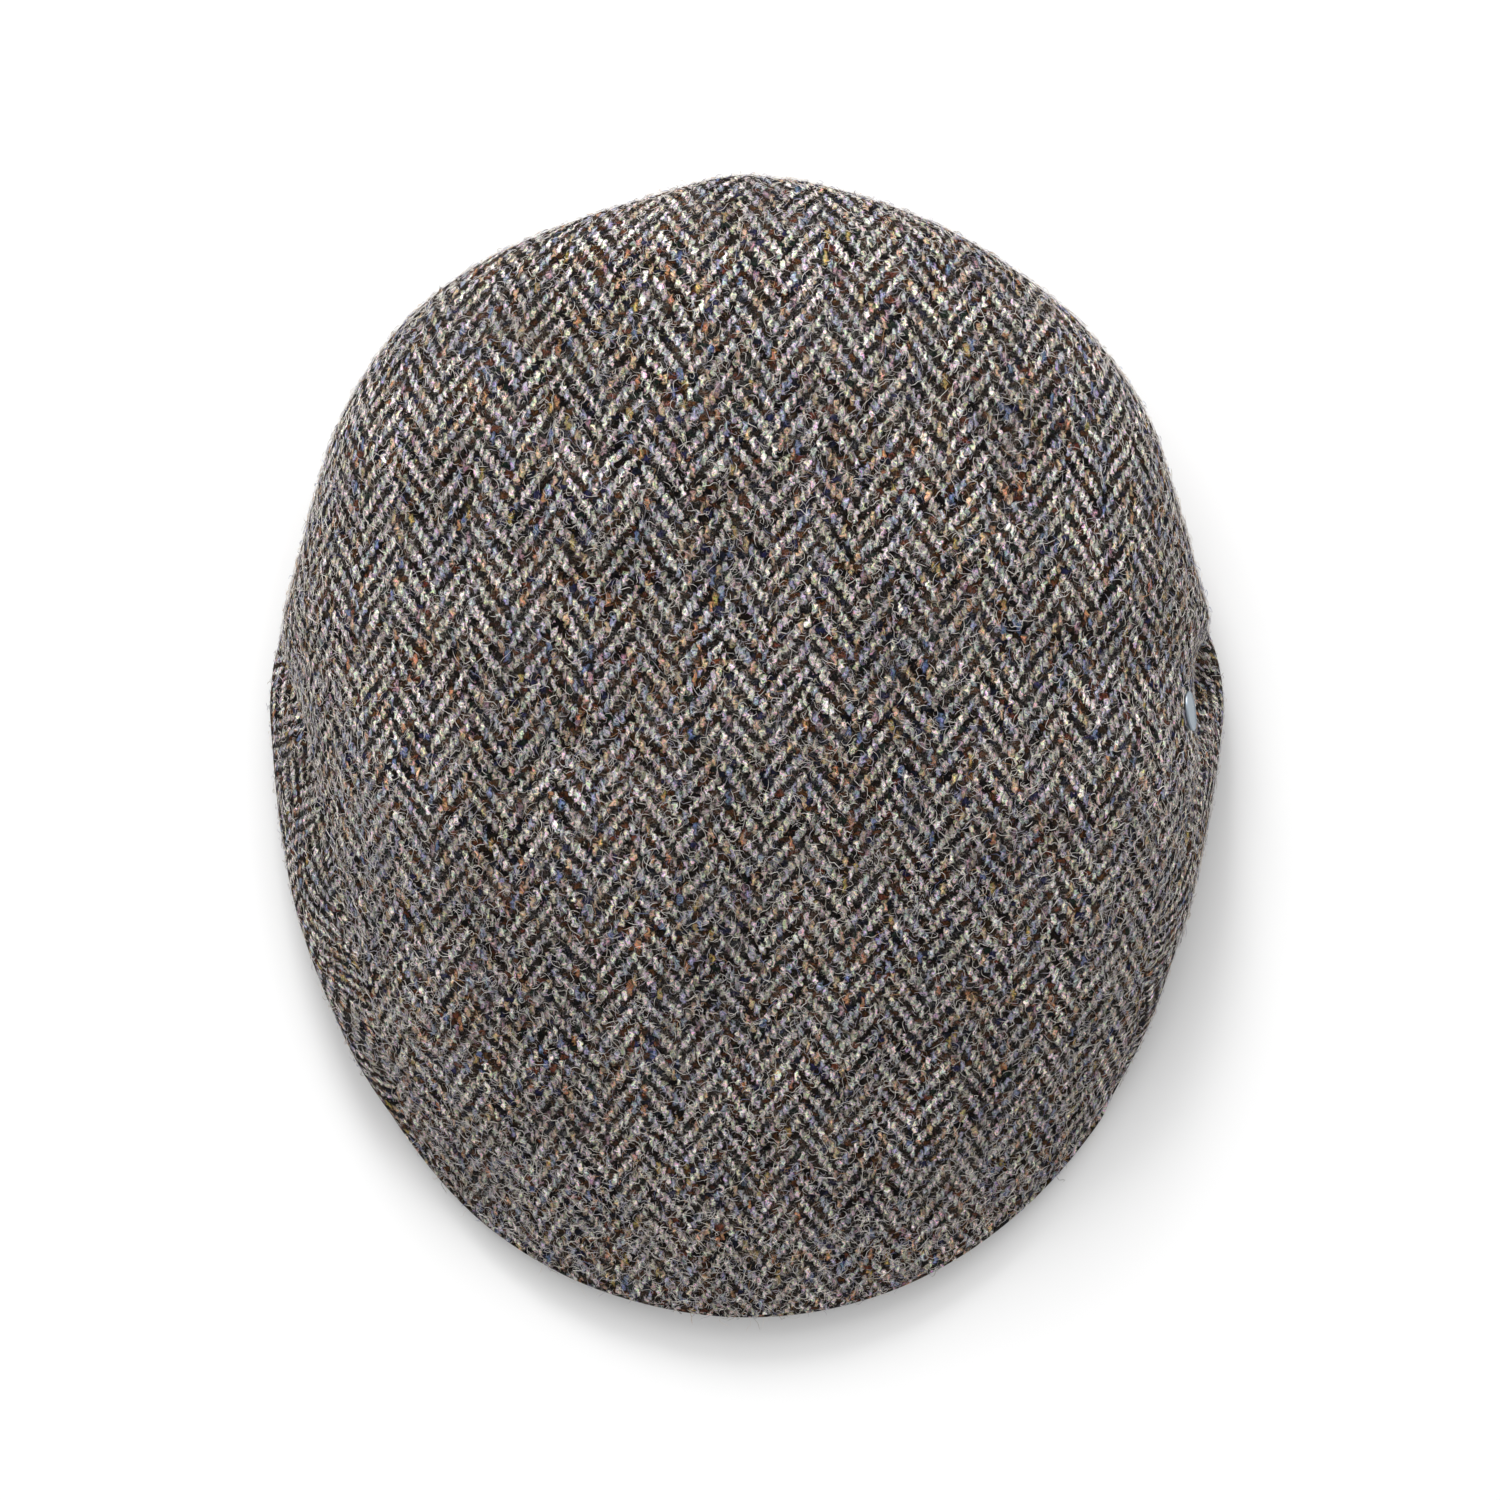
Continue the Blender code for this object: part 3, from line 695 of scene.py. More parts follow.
    def wools(self) -> list[Step]:
        """Colours of both yarns: each stretch, a few threads long, takes its own dyed wool.

        Returns:
            The steps.
        """
        steps = []
        for yarn, thread, run, salt in (("warp", "end", "v", 3.7), ("weft", "pick", "u", 8.1)):
            steps += [
                (f"{yarn}_seed", Kind.ADD, thread, salt),
                (f"{yarn}_start", Kind.CHANCE_1D, {"W": f"{yarn}_seed"}),
                (f"{yarn}_lead", Kind.MULTIPLY, f"{yarn}_start", 9.0),
                (f"{yarn}_length", Kind.SCALE_ADD, run, 0.27, f"{yarn}_lead"),
                (f"{yarn}_stretch", Kind.FLOOR, f"{yarn}_length"),
                (f"{yarn}_cell", Kind.JOIN, thread, f"{yarn}_stretch", salt),
                (f"{yarn}_chance", Kind.CHANCE_3D, {"Vector": f"{yarn}_cell"}),
                (f"{yarn}_dyes", Kind.DYES, f"{yarn}_chance"),
            ]
        return steps

    def spun_yarn(self) -> list[Step]:
        """The yarns' fibres, in the light.

        Single fibres run slantwise along each yarn, every one with its own tone and tint, and
        stray over its edges; between the floats, where they lie low, the colour is darkened as
        painted shade. Real fibres are far too fine to show, so they are drawn about 0.4 mm wide,
        a few to a thread.

        Returns:
            The steps.
        """
        return [
            ("u_fibres", Kind.MULTIPLY, "u", self.fibres),
            ("v_slant", Kind.MULTIPLY, "v", 1.4),
            ("slant", Kind.ADD, "u_fibres", "v_slant"),
            ("v_fibres", Kind.MULTIPLY, "v", 2.2),
            ("fibre_place", Kind.JOIN, "slant", "v_fibres"),
            ("spun", Kind.NOISE, {"Vector": "fibre_place", "Scale": 1.0, "Detail": 3.0}),
            ("fibre_tones", Kind.SCALE_ADD, "spun", 5.2, -1.65),
            ("strands", Kind.MAXIMUM, "fibre_tones", 0.06),
            ("astray", Kind.SCALE_ADD, "spun", self.stray, -self.stray / 2),
            ("warp_above", Kind.SUBTRACT, "warp", "weft"),
            ("ahead", Kind.ADD, "warp_above", "astray"),
            ("warp_share", Kind.SCALE_ADD_CLAMPED, "ahead", 4.0, 0.5),
            ("yarns", Kind.MIX, {0: "warp_share", 6: "weft_dyes", 7: "warp_dyes"}),
            ("tints", Kind.TONE_ADD, "spun.1", (self.tint,) * 3, (1 - self.tint / 2,) * 3),
            ("tinted", Kind.TONE, "yarns.2", "tints"),
            ("top", Kind.MAXIMUM, "warp", "weft"),
            # Painted shade: the colour is darkened where the floats lie low, between them.
            ("depth", Kind.SCALE_ADD, "top", 1.58, -0.14),
            ("hollow", Kind.MAXIMUM, "depth", 0.02),
            ("patch_noise", Kind.NOISE, {"Vector": "solid", "Scale": 42.0, "Detail": 4.0}),
            ("patches", Kind.SCALE_ADD, "patch_noise", 1.4, 0.3),
            ("strand_light", Kind.MULTIPLY, "strands", "hollow"),
            ("patch_light", Kind.MULTIPLY, "strand_light", "patches"),
            ("light", Kind.MULTIPLY, "patch_light", self.shade),
            ("shaded", Kind.DIM, {0: "tinted", 3: "light"}),
        ]

    def nap(self) -> list[Step]:
        """The nap and the relief.

        Curled hairs are the level lines of a twisted noise, with curls of 3.3, 1.9 and 1.1 mm,
        drawn coarser than real ones so that they show, and thinned in patches and over the
        weft. The relief is the floats' height with the fibres and hairs on it.

        Returns:
            The steps.
        """
        steps = []
        for k, (scale, width) in enumerate(((300.0, 0.016), (520.0, 0.020), (900.0, 0.020))):
            links = {"Vector": "solid", "Scale": scale, "Detail": 1.0, "Distortion": 1.6}
            steps += [
                (f"curls_{k}", Kind.NOISE, links),
                (f"off_line_{k}", Kind.SUBTRACT, f"curls_{k}", 0.5),
                (f"away_{k}", Kind.ABSOLUTE, f"off_line_{k}"),
                (f"widths_{k}", Kind.DIVIDE, f"away_{k}", width),
                (f"hair_{k}", Kind.LEFT_OF, 1.0, f"widths_{k}"),
            ]
        return steps + [
            ("thin_noise", Kind.NOISE, {"Vector": "solid", "Scale": 150.0, "Detail": 2.0}),
            ("thin", Kind.SCALE_ADD_CLAMPED, "thin_noise", 4.2, -1.7),
            ("long_hairs", Kind.MAXIMUM, "hair_0", "hair_1"),
            ("all_hairs", Kind.MAXIMUM, "long_hairs", "hair_2"),
            ("over_warp", Kind.SCALE_ADD, "warp_share", 0.65, 0.35),
            ("hair_share", Kind.MULTIPLY, "thin", "over_warp"),
            ("hair", Kind.MULTIPLY, "all_hairs", "hair_share"),
            ("hair_cover", Kind.MULTIPLY, "hair", self.hair_mix),
            ("fuzzed", Kind.MIX, {0: "hair_cover", 6: "shaded", 7: linear(self.hair_colour)}),
            ("fine_height", Kind.ADD, "strands", "hair"),
            ("fine_relief", Kind.MULTIPLY, "fine_height", 0.22),
            ("height", Kind.ADD, "top", "fine_relief"),
            ("bump", Kind.BUMP, {"Height": "height", "Distance": self.bump_depth}),
        ]


@dataclass(frozen=True)
class WoolHair:
    """Loose wool hairs: mostly undyed and pale, a few dyed, with a soft gloss that lifts them."""

    name: str = "wool_hair"
    roughness: float = 0.6
    gloss: float = 0.3

    def build(self) -> bpy.types.Material:
        """Gives each hair its dye by its tint.

        Returns:
            The material, for a piece whose points carry a tint from 0 to 1.
        """
        material, shader = new_material(self.name)
        tree = material.node_tree
        tint = add_node(tree, "ShaderNodeAttribute", attribute_name="tint")
        ramp = add_node(tree, "ShaderNodeValToRGB", {0: tint.outputs["Fac"]})
        fill_stops(ramp, Yarn.HAIR)
        tree.links.new(ramp.outputs[0], shader.inputs["Base Color"])
        shader.inputs["Roughness"].default_value = self.roughness
        shader.inputs["Specular IOR Level"].default_value = self.gloss
        return material


@dataclass(frozen=True)
class NickelPlate:
    """Brushed nickel: cool grey, with fine scratches along its length that spread its highlight.

    The scratches are drawn 0.11 mm wide and 1.4 mm long, coarser than real ones.
    """

    name: str = "nickel_plate_brushed"
    colour: str = "#98a2ac"
    scratches: tuple[float, float, float] = (9000.0, 700.0, 9000.0)
    smoothest: float = 0.24
    roughest: float = 0.46
    scratch_depth: float = 0.00003

    def build(self) -> bpy.types.Material:
        """Lets the scratches change the roughness and the relief.

        Returns:
            The material.
        """
        material, shader = new_material(self.name)
        tree = material.node_tree
        place = add_node(tree, "ShaderNodeTexCoord")
        links = {"Vector": place.outputs["Object"], "Scale": self.scratches}
        drawn = add_node(tree, "ShaderNodeMapping", links)
        links = {"Vector": drawn.outputs[0], "Scale": 1.0, "Detail": 2.0}
        scratch = add_node(tree, "ShaderNodeTexNoise", links).outputs[0]
        links = {"Value": scratch, "To Min": self.smoothest, "To Max": self.roughest}
        rough = add_node(tree, "ShaderNodeMapRange", links)
        tree.links.new(rough.outputs[0], shader.inputs["Roughness"])
        links = {"Height": scratch, "Distance": self.scratch_depth}
        bump = add_node(tree, "ShaderNodeBump", links)
        tree.links.new(bump.outputs[0], shader.inputs["Normal"])
        shader.inputs["Base Color"].default_value = linear(self.colour)
        shader.inputs["Metallic"].default_value = 1.0
        return material


@dataclass(frozen=True)
class PaleFloor:
    """White paper to lie on: quite matt, so that it shows the soft shadow alone."""

    name: str = "white_paper"
    grey: float = 0.86

    def build(self) -> bpy.types.Material:
        """Sets the paper's even grey.

        Returns:
            The material.
        """
        material, shader = new_material(self.name)
        shader.inputs["Base Color"].default_value = (self.grey,) * 3 + (1.0,)
        shader.inputs["Roughness"].default_value = 1.0
        shader.inputs["Specular IOR Level"].default_value = 0.0
        return material


def grid_quads(rows: int, columns: int, closed_rows: bool, closed_columns: bool) -> Array:
    """Corner numbers of the quads of a grid.

    Args:
        rows, columns: the grid's size.
        closed_rows: the last row is joined to the first.
        closed_columns: the last column is joined to the first.

    Returns:
        Corners, (quads, 4).
    """
    r = np.arange(rows if closed_rows else rows - 1)[:, None]
    c = np.arange(columns if closed_columns else columns - 1)[None, :]
    below, right = (r + 1) % rows, (c + 1) % columns
    corners = (r * columns + c, r * columns + right, below * columns + right, below * columns + c)
    return np.stack(np.broadcast_arrays(*corners), axis=-1).reshape(-1, 4)


def end_quads(ring: Array, half: int) -> Array:
    """Quads across one end of a wall, between the two faces of its ring.

    Args:
        ring: numbers of the ring's points, out along one face and back along the other.
        half: number of points of a face.

    Returns:
        Corners, (half - 1, 4).
    """
    upper, lower = ring[:half], ring[::-1][:half]
    return np.stack([upper[:-1], upper[1:], lower[1:], lower[:-1]], axis=-1)


def make_piece(
    name: str,
    points: Array,
    faces: list[Array],
    material: bpy.types.Material,
    threads: Array | None = None,
    tint: Array | None = None,
    weld: bool = True,
) -> bpy.types.Object:
    """A piece of the cap from its points and faces.

    Args:
        name: the piece's name.
        points: (n, 3).
        faces: arrays of corner numbers, each with its own number of corners a face.
        material: its finish.
        threads: cloth coordinates of every point, (n, 2).
        tint: a number from 0 to 1 for every point.
        weld: merge points that coincide, and turn every face outwards.

    Returns:
        The new object, riding on the cap.
    """
    mesh = bpy.data.meshes.new(name)
    loops = np.concatenate([part.ravel() for part in faces]).astype(np.int32)
    sizes = np.concatenate([np.full(len(part), part.shape[1]) for part in faces])
    starts = np.concatenate([[0], np.cumsum(sizes)[:-1]]).astype(np.int32)
    mesh.vertices.add(len(points))
    mesh.vertices.foreach_set("co", np.ascontiguousarray(points, dtype=np.float32).ravel())
    mesh.loops.add(len(loops))
    mesh.loops.foreach_set("vertex_index", loops)
    mesh.polygons.add(len(sizes))
    mesh.polygons.foreach_set("loop_start", starts)
    if threads is not None:
        layer = mesh.uv_layers.new(name="threads")
        layer.data.foreach_set("uv", threads[loops].astype(np.float32).ravel())
    if tint is not None:
        attribute = mesh.attributes.new("tint", "FLOAT", "POINT")
        attribute.data.foreach_set("value", tint.astype(np.float32))
    mesh.update(calc_edges=True)
    if weld:
        work = bmesh.new()
        work.from_mesh(mesh)
        bmesh.ops.remove_doubles(work, verts=work.verts[:], dist=1e-6)
        bmesh.ops.dissolve_degenerate(work, edges=work.edges[:], dist=1e-7)
        bmesh.ops.recalc_face_normals(work, faces=work.faces[:])
        work.to_mesh(mesh)
        work.free()
    mesh.shade_smooth()
    mesh.materials.append(material)
    piece = bpy.data.objects.new(name, mesh)
    bpy.context.scene.collection.objects.link(piece)
    return piece


@dataclass
class TopPanel:
    """The one-piece crown: a closed wall of cloth from the crest to the seam and back inside."""

    shape: CapShape
    thread: Thread
    stations: int = 180
    rows: int = 56
    seam_dip: float = 0.4 * MM
    seam_reach: float = 2.4 * MM
    ripple: float = 0.35 * MM
    long_waves: tuple[float, float] = (0.017, 0.023)
    short_waves: tuple[float, float, float, float] = (0.009, 0.013, 0.011, 0.020)
    short_share: float = 0.6
    grain: tuple[float, float, float] = (0.0042, 0.019, 0.14)

    def outer(self, turn: Array, side: Side, share: Array) -> tuple[Array, Array, Array]:
        """Outer face with its soft unevenness.

        The smooth face is moved along its normal: in by the seam's dip near the seam, in along
        the dart's groove, and in and out by slow ripples, each a product of two sines.

        Args:
            turn: stations.
            side: half of the cap.
            share: 0 on the crest to 1 at the seam.

        Returns:
            Points, normals and cloth coordinates.
        """
        face = self.shape.crown_face(turn, side, share)
        normal = normals(face, side)
        slope = self.shape.crest(turn)[1]
        crest_normal = np.stack([np.zeros_like(slope), -slope, np.ones_like(slope)], axis=-1)
        normal[:, 0] = unit(crest_normal)
        normal[[0, -1], :, 0] = 0.0
        normal = unit(normal)
        down = arc(face, axis=1)
        to_seam = down[:, -1:] - down
        move = -self.seam_dip * np.exp(-((to_seam / self.seam_reach) ** 2))
        x, y, z = (face[..., k] for k in range(3))
        wide, long = self.long_waves
        a, b, c, d = self.short_waves
        short = self.short_share * np.sin(x / a - y / b) * np.sin(y / c + z / d)
        ripple = np.sin(x / wide + 1.3) * np.sin(y / long + 0.4) + short
        move = move + self.ripple * ripple * ease(to_seam, 0.0, 0.02)
        move = move - self.dart_groove(face)
        face = face + normal * move[..., None]
        face[[0, -1], :, 0] = 0.0
        return face, normal, self.threads(turn, side, down)

    def dart_groove(self, face: Array) -> Array:
        """Depth of the dart's groove: deepest at the seam, closing upwards, a bell across.

        Args:
            face: points of the crown, (stations, rows, 3).

        Returns:
            The depth at every point.
        """
        shape = self.shape
        up = np.clip(1 - (shape.cap_length / 2 - face[..., 1]) / shape.dart_length, 0.0, 1.0)
        across = np.exp(-(((face[..., 0] - shape.dart_x) / (shape.dart_width / 4)) ** 2))
        return shape.dart_depth * np.sqrt(up) * across * (face[..., 1] > 0)

    def threads(self, turn: Array, side: Side, down: Array) -> Array:
        """Cloth coordinates: the flat pattern of the crown.

        A point lies as far from the crest line as the cloth runs to it, in its station's plan
        direction, and the crest line lies along the grain, which drifts and bows a little.

        Args:
            turn: stations.
            side: half of the cap.
            down: how far the cloth runs from the crest to every point.

        Returns:
            Threads across and along, (stations, rows, 2).
        """
        heading = self.shape.headings(turn, side)[0]
        crest = self.shape.crest(turn)[0]
        along_crest = self.shape.crest_back_y - arc(crest, axis=0)
        across = heading[:, :1] * down
        along = along_crest[:, None] + heading[:, 1:] * down
        offset, drift, bow = self.grain
        across = across - (offset + drift * along + bow * along**2)
        return self.thread.count(across, along)

    def build(self, material: bpy.types.Material) -> bpy.types.Object:
        """The crown, both halves joined round the crest and cut back to the seam's mitre.

        Args:
            material: its finish.

        Returns:
            The new object, riding on the cap.
        """
        turn = np.linspace(0.0, 180.0, self.stations + 1)
        share = np.linspace(0.0, 1.0, self.rows)
        rings, threads = [], []
        for side in (Side.LEFT, Side.RIGHT):
            outer, normal, cloth = self.outer(turn, side, share)
            seam, inward, across = self.shape.mitre(turn, side)
            inner = outer - self.shape.cloth * normal
            inner[:, -1] = outer[:, -1] + inward
            for face in (outer, inner):
                past = np.sum((face - seam[:, None]) * across[:, None], axis=-1)
                over = np.maximum(past + self.shape.gap / 2, 0.0)
                face -= across[:, None] * over[..., None]
            for face in (outer, inner):
                face[[0, -1], :, 0] = 0.0
            keep = slice(None) if side is Side.LEFT else slice(-2, 0, -1)
            rings.append(np.concatenate([outer, inner[:, ::-1]], axis=1)[keep])
            threads.append(np.concatenate([cloth, cloth[:, ::-1]], axis=1)[keep])
        points, cloth = np.concatenate(rings), np.concatenate(threads)
        quads = grid_quads(*points.shape[:2], closed_rows=True, closed_columns=False)
        piece = make_piece(
            "crown_cloth", points.reshape(-1, 3), [quads], material, cloth.reshape(-1, 2)
        )
        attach(piece, "root")
        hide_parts("top_panel")
        return piece


@dataclass
class SidePanel:
    """One side band, cut from an arc of cloth whose grain is upright at the centre back."""

    shape: CapShape
    thread: Thread
    side: Side
    stations: int = 161
    rows: int = 41
    cut_radius: float = 0.216
    seam_dip: float = 0.4 * MM
    seam_reach: float = 2.0 * MM
    row_gap: float = 0.00001

    def outer(self, turn: Array, share: Array) -> tuple[Array, Array, Array]:
        """Outer face, with the cloth rolled in at the seam.

        Args:
            turn: stations.
            share: 0 at the seam to 1 at the lower edge.

        Returns:
            Points, normals and cloth coordinates.
        """
        face = self.shape.side_face(turn, self.side, share)
        normal = normals(face, self.side)
        down = arc(face, axis=1)
        dip = self.seam_dip * np.exp(-((down / self.seam_reach) ** 2))
        dip = dip * ease(down[:, -1:], 0.0, 0.012)
        threads = self.threads(face, down)
        return face - normal * dip[..., None], normal, threads

    def threads(self, face: Array, down: Array) -> Array:
        """Cloth coordinates: the panel laid flat as part of a ring.

        The length round the panel turns into an angle on the ring and the height above the
        lower edge into its radius; the grain is upright where that angle is 0.

        Args:
            face: points of the panel, (stations, rows, 3).
            down: how far the cloth runs from the seam to every point.

        Returns:
            Threads across and along, (stations, rows, 2).
        """
        middle = face[:, face.shape[1] // 2]
        angle = (arc(middle, axis=0) / self.cut_radius)[:, None]
        radius = self.cut_radius + down[:, -1:] - down
        across = self.side.value * radius * np.sin(angle)
        return self.thread.count(across, radius * np.cos(angle))

    def build(self, material: bpy.types.Material) -> bpy.types.Object:
        """The panel as a closed wall of cloth, its foot cut level.

        Args:
            material: its finish.

        Returns:
            The new object, riding on the cap.
        """
        shape = self.shape
        end = shape.panel_ends(self.side) - shape.station_step / 2
        turn = np.linspace(0.0, end, self.stations)
        share = np.linspace(0.0, 1.0, self.rows)
        outer, normal, threads = self.outer(turn, share)
        seam, inward, across = shape.mitre(turn, self.side)
        inner = outer - shape.cloth * normal
        inner[:, 0] = outer[:, 0] + inward
        for face in (outer, inner):
            past = np.sum((face - seam[:, None]) * across[:, None], axis=-1)
            least = shape.gap / 2 + self.row_gap * np.arange(self.rows)[None, :]
            face += across[:, None] * np.maximum(least - past, 0.0)[..., None]
        level = normal[:, -1] * [1.0, 1.0, 0.0]
        width = shape.cloth * np.minimum(1 / np.linalg.norm(level, axis=-1), shape.foot_most)
        inner[:, -1] = outer[:, -1] - unit(level) * width[:, None]
        inner[..., 2] = np.maximum(inner[..., 2], outer[:, -1:, 2])
        for face in (outer, inner):
            face[0, :, 0] = self.side.value * shape.gap / 2
        ring = np.concatenate([outer, inner[:, ::-1]], axis=1)
        cloth = np.concatenate([threads, threads[:, ::-1]], axis=1)
        stations, width = ring.shape[:2]
        quads = grid_quads(stations, width, closed_rows=False, closed_columns=True)
        index = np.arange(stations * width).reshape(stations, width)
        caps = [end_quads(ends, self.rows) for ends in (index[0], index[-1])]
        name = f"side_cloth_{self.side.name.lower()}"
        piece = make_piece(
            name, ring.reshape(-1, 3), [quads, *caps], material, cloth.reshape(-1, 2)
        )
        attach(piece, "root")
        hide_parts(f"side_panel_{self.side.name.lower()}")
        return piece


@dataclass
class Peak:
    """The board at the front, covered all round in the same cloth."""

    shape: CapShape
    thread: Thread
    stations: int = 101
    rows: int = 25
    nose_points: int = 9

    def section(self, turn: Array, side: Side) -> Array:
        """Closed sections: the top from the inner edge out, a round nose, the underside back.

        The nose is a half ellipse, a half thickness high, between the two faces.

        Args:
            turn: stations.
            side: half of the cap.

        Returns:
            Points, (stations, points round the section, 3).
        """
        shape = self.shape
        inner_edge = shape.head_edge(turn, side)
        outward = unit(shape.outline(turn, side))
        outer_edge = shape.lower_edge(turn, side)[:, :2] + outward * shape.peak_reveal / 2
        start = shape.peak_edge_height(turn)
        end = shape.peak_lift * ease(turn, shape.peak_starts, 180.0)
        inside = np.linspace(0.0, 1.0, self.rows)
        rise = inside + shape.peak_camber * inside * (1 - inside)
        plan = outer_edge[:, None] + (inner_edge - outer_edge)[:, None] * inside[None, :, None]
        under = start[:, None] + (end - start)[:, None] * rise[None]
        lower = np.concatenate([plan, under[..., None]], axis=-1)
        upper = lower + [0.0, 0.0, shape.peak_thickness]
        angle = np.linspace(0.0, math.pi, self.nose_points + 2)[1:-1]
        nose = np.empty((len(turn), self.nose_points, 3))
        reach = shape.peak_reveal / 2 * np.sin(angle)
        nose[..., :2] = outer_edge[:, None] + outward[:, None] * reach[None, :, None]
        nose[..., 2] = start[:, None] + shape.peak_thickness * (1 + np.cos(angle)) / 2
        return np.concatenate([upper[:, ::-1], nose, lower], axis=1)

    def threads(self, ring: Array) -> Array:
        """Cloth coordinates: straight down onto both faces, and rolled out over the nose.

        On the nose, the way round it from the edge of the top is laid off in plan, straight out.

        Args:
            ring: the sections' points.

        Returns:
            Threads across and along at every point.
        """
        nose = slice(self.rows, self.rows + self.nose_points)
        plan = ring[..., :2].copy()
        edge = plan[:, self.rows - 1, None]
        ahead = unit(edge - plan[:, :1])
        way = arc(ring, axis=1)[..., None]
        plan[:, nose] = edge + ahead * (way[:, nose] - way[:, self.rows - 1, None])
        return self.thread.count(plan[..., 0], plan[..., 1])

    def build(self, material: bpy.types.Material) -> bpy.types.Object:
        """The peak, swept from its left corner round the front to its right one.

        Args:
            material: its finish.

        Returns:
            The new object, riding on the cap.
        """
        shape = self.shape
        first = math.ceil(shape.peak_starts / shape.station_step) * shape.station_step
        turn = np.linspace(first, 180.0, self.stations)
        left = self.section(turn, Side.LEFT)
        right = self.section(turn, Side.RIGHT)[-2::-1]
        ring = np.concatenate([left, right])
        stations, width = ring.shape[:2]
        quads = grid_quads(stations, width, closed_rows=False, closed_columns=True)
        index = np.arange(stations * width).reshape(stations, width)
        half = width // 2
        caps = []
        for ends in (index[0], index[-1]):
            caps.append(end_quads(ends, half))
            caps.append(ends[None, half - 1:half + 2])
        threads = self.threads(ring).reshape(-1, 2)
        piece = make_piece("peak_cover", ring.reshape(-1, 3), [quads, *caps], material, threads)
        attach(piece, "root")
        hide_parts("peak")
        return piece


